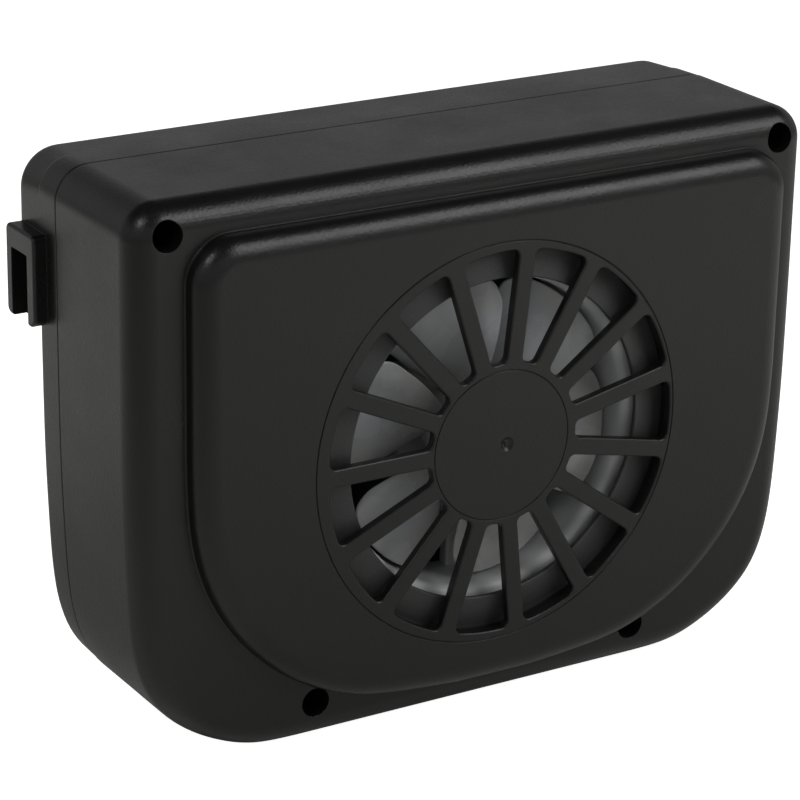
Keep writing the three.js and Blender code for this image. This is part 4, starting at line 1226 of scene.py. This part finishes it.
def motor_pieces():
    piece(motor_can(), "motor_can", "motor_steel")
    piece(end_cap(), "motor_end_cap", "nylon")
    piece(lathe(fillet(SHAFT, 3, closed=False), 40), "motor_shaft", "motor_steel", "rotor")
    piece(bushing(CAN_FRONT - 1.4, CAN_FRONT + 0.7), "motor_front_bushing", "sintered_bronze")
    piece(bushing(27.4, 29.5), "motor_rear_bushing", "sintered_bronze")
    piece(commutator(), "commutator", "coil_copper", "rotor")
    piece(armature_core(), "armature_core", "lamination_steel", "rotor")
    for k, pole in enumerate(POLES):
        piece(coil(pole), "armature_coil_%d" % (k + 1), "coil_copper", "rotor")
    for side, label in ((-1, "left"), (1, "right")):
        sector = arc_outline(11.1, 9.3, 0 if side > 0 else math.pi, math.radians(62), 30)
        piece(slab(sector, (CAN_FRONT + 1.4, 25.2), 0.25), "field_magnet_" + label, "ferrite")
        piece(brush(side), "brush_" + label, "carbon")
        piece(terminal(side), "terminal_" + label, "terminal_brass")
        piece(screw(FAN_X + side * MOTOR_SCREW_REACH, FAN_Z, 12.5, **MOTOR_SCREW),
              "motor_screw_" + label, "screw_steel")


# ------------------------------------------------------------------ solar panel
BOARD_XS = (-60.5, 60.5)
BOARD_ZS = (-42.5, 20.5)
CELL_CORNER = 1.6                   # length cut off each corner of a cell
LEAD_RADIUS = 0.7
# middle lines of the leads from the terminals to the board: x, y, z
RED_LEAD = [(FAN_X + 7.6, 32.6, FAN_Z), (FAN_X + 8.6, 33.6, FAN_Z - 3),
            (FAN_X + 13, 33.4, FAN_Z - 10), (22, 33.2, -18), (24, 33.6, -24), (24, 34.4, -26.5)]
BLACK_LEAD = [(FAN_X - 7.6, 32.6, FAN_Z), (FAN_X - 8.2, 33.6, FAN_Z - 4),
              (FAN_X - 2, 33.4, FAN_Z - 13), (10, 33.2, -20), (15, 33.6, -25), (16, 34.4, -27.5)]


def tube(points, radius, sides=14, steps=70):
    """A round tube along a smooth curve through points."""
    path = spline(points, steps)
    verts, faces = [], []
    for i in range(steps):
        along = path[min(i + 1, steps - 1)] - path[max(i - 1, 0)]
        along /= np.linalg.norm(along)
        across = np.cross(along, (0.0, 1.0, 0.0))
        if np.linalg.norm(across) < 1e-3:
            across = np.cross(along, (1.0, 0.0, 0.0))
        across /= np.linalg.norm(across)
        upright = np.cross(along, across)
        for k in range(sides):
            t = 2 * math.pi * k / sides
            verts.append(path[i] + radius * (across * math.cos(t) + upright * math.sin(t)))
    for i in range(steps - 1):
        for k in range(sides):
            q = (k + 1) % sides
            faces.append((i * sides + k, i * sides + q, (i + 1) * sides + q, (i + 1) * sides + k))
    faces.append(tuple(reversed(range(sides))))
    faces.append(tuple((steps - 1) * sides + k for k in range(sides)))
    return make(verts, faces)


def gasket():
    sheet = slab(rounded_rect(widened(BOARD_XS, -0.3), widened(BOARD_ZS, -0.3), 1.0, 6),
                 (37.15, 37.9), 0.2)
    opening = rounded_rect(widened(WINDOW_XS, 0.4), widened(WINDOW_ZS, 0.4), 2.0, 8)
    sheet = cut(sheet, skin([(opening, 36), (opening, 39)]))
    return cut(sheet, rods(SOLAR_HOLES, 1.5, (36, 39), 28))


def board():
    sheet = slab(rounded_rect(BOARD_XS, BOARD_ZS, 1.0, 6), (35.6, 36.8), 0.12)
    return cut(sheet, rods(SOLAR_HOLES, 1.5, (34, 39), 28))


def cell_pieces(number):
    """A cell with cut corners and the two ribbons that run up its back."""
    name = "solar_cell_%d" % number
    low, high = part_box(name)
    left, right = low.x * 1000 - ORIGIN_X, high.x * 1000 - ORIGIN_X
    bottom, top = low.z * 1000 - ORIGIN_Z, high.z * 1000 - ORIGIN_Z
    c = CELL_CORNER
    outline = [(left + c, bottom), (right - c, bottom), (right, bottom + c), (right, top - c),
               (right - c, top), (left + c, top), (left, top - c), (left, bottom + c)]
    piece(slab(outline, (37.1, 37.5), 0.05, 2), name, "solar_cell")
    for k, share in enumerate((0.27, 0.73)):
        x = left + (right - left) * share
        strip = rounded_rect((x - 0.7, x + 0.7), (bottom + 0.8, top - 0.8), 0.3, 4)
        ribbon = slab(strip, (37.48, 37.64), 0.06, 2)
        finish(ribbon, "cell_ribbon_%d_%d" % (number, k + 1), "tinned_ribbon")


def solar_pieces():
    piece(gasket(), "panel_gasket", "foam_black")
    piece(board(), "solar_board", "board_green")
    for number in range(1, 6):
        cell_pieces(number)
    cover = rounded_rect(widened(WINDOW_XS, -0.35), widened(WINDOW_ZS, -0.35), 1.8, 10)
    piece(slab(cover, (37.8, 39.6), 0.5, 6), "cell_cover", "clear_epoxy")
    places = [(x, z) for z in SOLAR_SCREW_ZS for x in SOLAR_SCREW_XS]
    for k, (x, z) in enumerate(places):
        piece(screw(x, z, 34.1, **SOLAR_SCREW), "panel_screw_%d" % (k + 1), "screw_steel")
    piece(tube(RED_LEAD, LEAD_RADIUS), "lead_red", "wire_red")
    piece(tube(BLACK_LEAD, LEAD_RADIUS), "lead_black", "wire_black")


# ------------------------------------------------------------------ build
piece(front_shell(), "front_shell", "shell_black")
piece(soften(rear_shell(), width=0.3, angle=48, segments=2), "rear_shell", "shell_black")
# the baffle gets the lightened black, whose colour is painted light for the recess behind the grille
piece(lathe(fillet(BAFFLE), 220), "intake_baffle_ring", "baffle_black",
      name="intake_baffle_fine")
piece(fan_duct(), "fan_duct", "duct_white")
piece(impeller(), "impeller", "impeller_milky", "rotor", sharp=40)
for label, (x, z) in CASE_SCREWS.items():
    piece(screw(x, z, TOWER_END - 4.3, **CASE_SCREW), "case_screw_" + label, "screw_steel")
# the duct's screws go in from the back: mirrored, with the head's face at y = 7.1
FROM_BACK = Matrix.Translation((0, 7.1, 0)) @ Matrix.Scale(-1, 4, (0, 1, 0))
for k, (x, z) in enumerate(EARS):
    piece(moved(screw(x, z, 0.0, **DUCT_SCREW), FROM_BACK), "duct_screw_%d" % (k + 1),
          "screw_steel")
motor_pieces()
solar_pieces()


# ------------------------------------------------------------------ floor
def studio_floor():
    """Pale floor: seen straight on it stays near white, in reflections it shows its light."""
    shader = Shader("studio_floor")
    shader.put("Base Color", shader.mix(shader.remap(shader.noise(scale=3)),
                                        (0.78, 0.78, 0.755), (0.82, 0.82, 0.795)))
    shader.put("Roughness", shader.remap(shader.noise(scale=8), to=(0.8, 0.95)))
    shader.put("Specular IOR Level", 0.1)
    shader.put("Emission Color", (1.0, 1.0, 1.0))
    seen = shader.node("LightPath").outputs["Is Camera Ray"]
    shader.put("Emission Strength", shader.remap(seen, to=(0.02, 0.96), span=(0.0, 1.0)))


floor = block((-4000, 4000), (-4000, 4000), (-20, 0))
floor.name = "studio_floor"
floor.data.name = "studio_floor"
floor.data.transform(Matrix.Scale(0.001, 4))
studio_floor()
floor.data.materials.append(MATERIALS["studio_floor"])
floor.location = (0, 0, CAD_LOW.z)


# ------------------------------------------------------------------ lights (metres, watts)
def receivers(name, shapes):
    """A collection for light linking: a light given it falls on these shapes only."""
    collection = bpy.data.collections.new(name)
    for shape in shapes:
        collection.objects.link(shape)
    return collection


def area(name, place, target, size, power, only):
    """A rectangular light, size (width, height), aimed at target and hidden from the camera."""
    light = bpy.data.lights.new(name, "AREA")
    light.energy = power
    light.shape = "RECTANGLE"
    light.size, light.size_y = size
    lamp = bpy.data.objects.new(name, light)
    COLLECTION.objects.link(lamp)
    lamp.location = place
    lamp.rotation_mode = "QUATERNION"
    lamp.rotation_quaternion = (Vector(target) - Vector(place)).to_track_quat("-Z", "Y")
    lamp.visible_camera = False
    lamp.light_linking.receiver_collection = only


FLOOR_ONLY = receivers("floor_only", [floor])
PART_ONLY = receivers("part_only", FINISHED)
area("softbox_right", place=(0.50, -0.62, 0.68), target=(0, 0, 0.06), size=(0.60, 0.50),
     power=3.1, only=PART_ONLY)
area("softbox_left", place=(-0.62, -0.32, 0.76), target=(0, 0, 0.06), size=(0.25, 0.25),
     power=1.2, only=PART_ONLY)
area("floor_front", place=(0.36, -0.34, 0.50), target=(0.36, -0.34, 0.0), size=(0.30, 0.30),
     power=2.5, only=FLOOR_ONLY)
area("floor_back", place=(-0.28, 0.32, 0.40), target=(-0.28, 0.32, 0.0), size=(0.25, 0.25),
     power=1.1, only=FLOOR_ONLY)

# ------------------------------------------------------------------ world
# white to the camera; as a light, it fades from the first strength to the second with height
GLOW_HEIGHTS = (0.42, 0.62)
GLOW_STRENGTHS = (0.33, 0.03)
world = bpy.data.worlds.new("studio")
scene.world = world
world.use_nodes = True
nodes, links = world.node_tree.nodes, world.node_tree.links
height = nodes.new("ShaderNodeSeparateXYZ")
links.new(nodes.new("ShaderNodeTexCoord").outputs["Generated"], height.inputs[0])
glow = nodes.new("ShaderNodeMapRange")
glow.interpolation_type = "SMOOTHSTEP"
for k, value in enumerate(GLOW_HEIGHTS + GLOW_STRENGTHS):
    glow.inputs[k + 1].default_value = value
links.new(height.outputs[2], glow.inputs[0])
strength = nodes.new("ShaderNodeMix")
strength.data_type = "FLOAT"
links.new(nodes.new("ShaderNodeLightPath").outputs["Is Camera Ray"], strength.inputs[0])
links.new(glow.outputs[0], strength.inputs[2])
strength.inputs[3].default_value = 1.0
links.new(strength.outputs[0], nodes["Background"].inputs[1])
nodes["Background"].inputs[0].default_value = (1, 1, 1, 1)
scene.view_settings.view_transform = "Standard"
scene.view_settings.look = "None"

# ------------------------------------------------------------------ camera
AZIMUTH = math.radians(-31.73)      # from straight in front, towards -X
ELEVATION = math.radians(20.57)
ROLL = math.radians(1.08)
DISTANCE = 0.6163
TARGET = Vector(((ORIGIN_X - 19.24) / 1000, ORIGIN_Y / 1000, (ORIGIN_Z + 11.17) / 1000))

back = Vector((math.sin(AZIMUTH) * math.cos(ELEVATION),
               -math.cos(AZIMUTH) * math.cos(ELEVATION), math.sin(ELEVATION)))
level = Vector((0, 0, 1)).cross(back).normalized()
upright = back.cross(level)
right = level * math.cos(ROLL) + upright * math.sin(ROLL)
up = upright * math.cos(ROLL) - level * math.sin(ROLL)
place = TARGET + back * DISTANCE
lens = bpy.data.cameras.new("camera")
lens.lens = 145.9215
lens.sensor_width = 36.0
lens.clip_start = 0.01
camera = bpy.data.objects.new("camera", lens)
COLLECTION.objects.link(camera)
camera.matrix_world = Matrix((*zip(right, up, back, place), (0, 0, 0, 1)))
scene.camera = camera

bpy.context.view_layer.update()
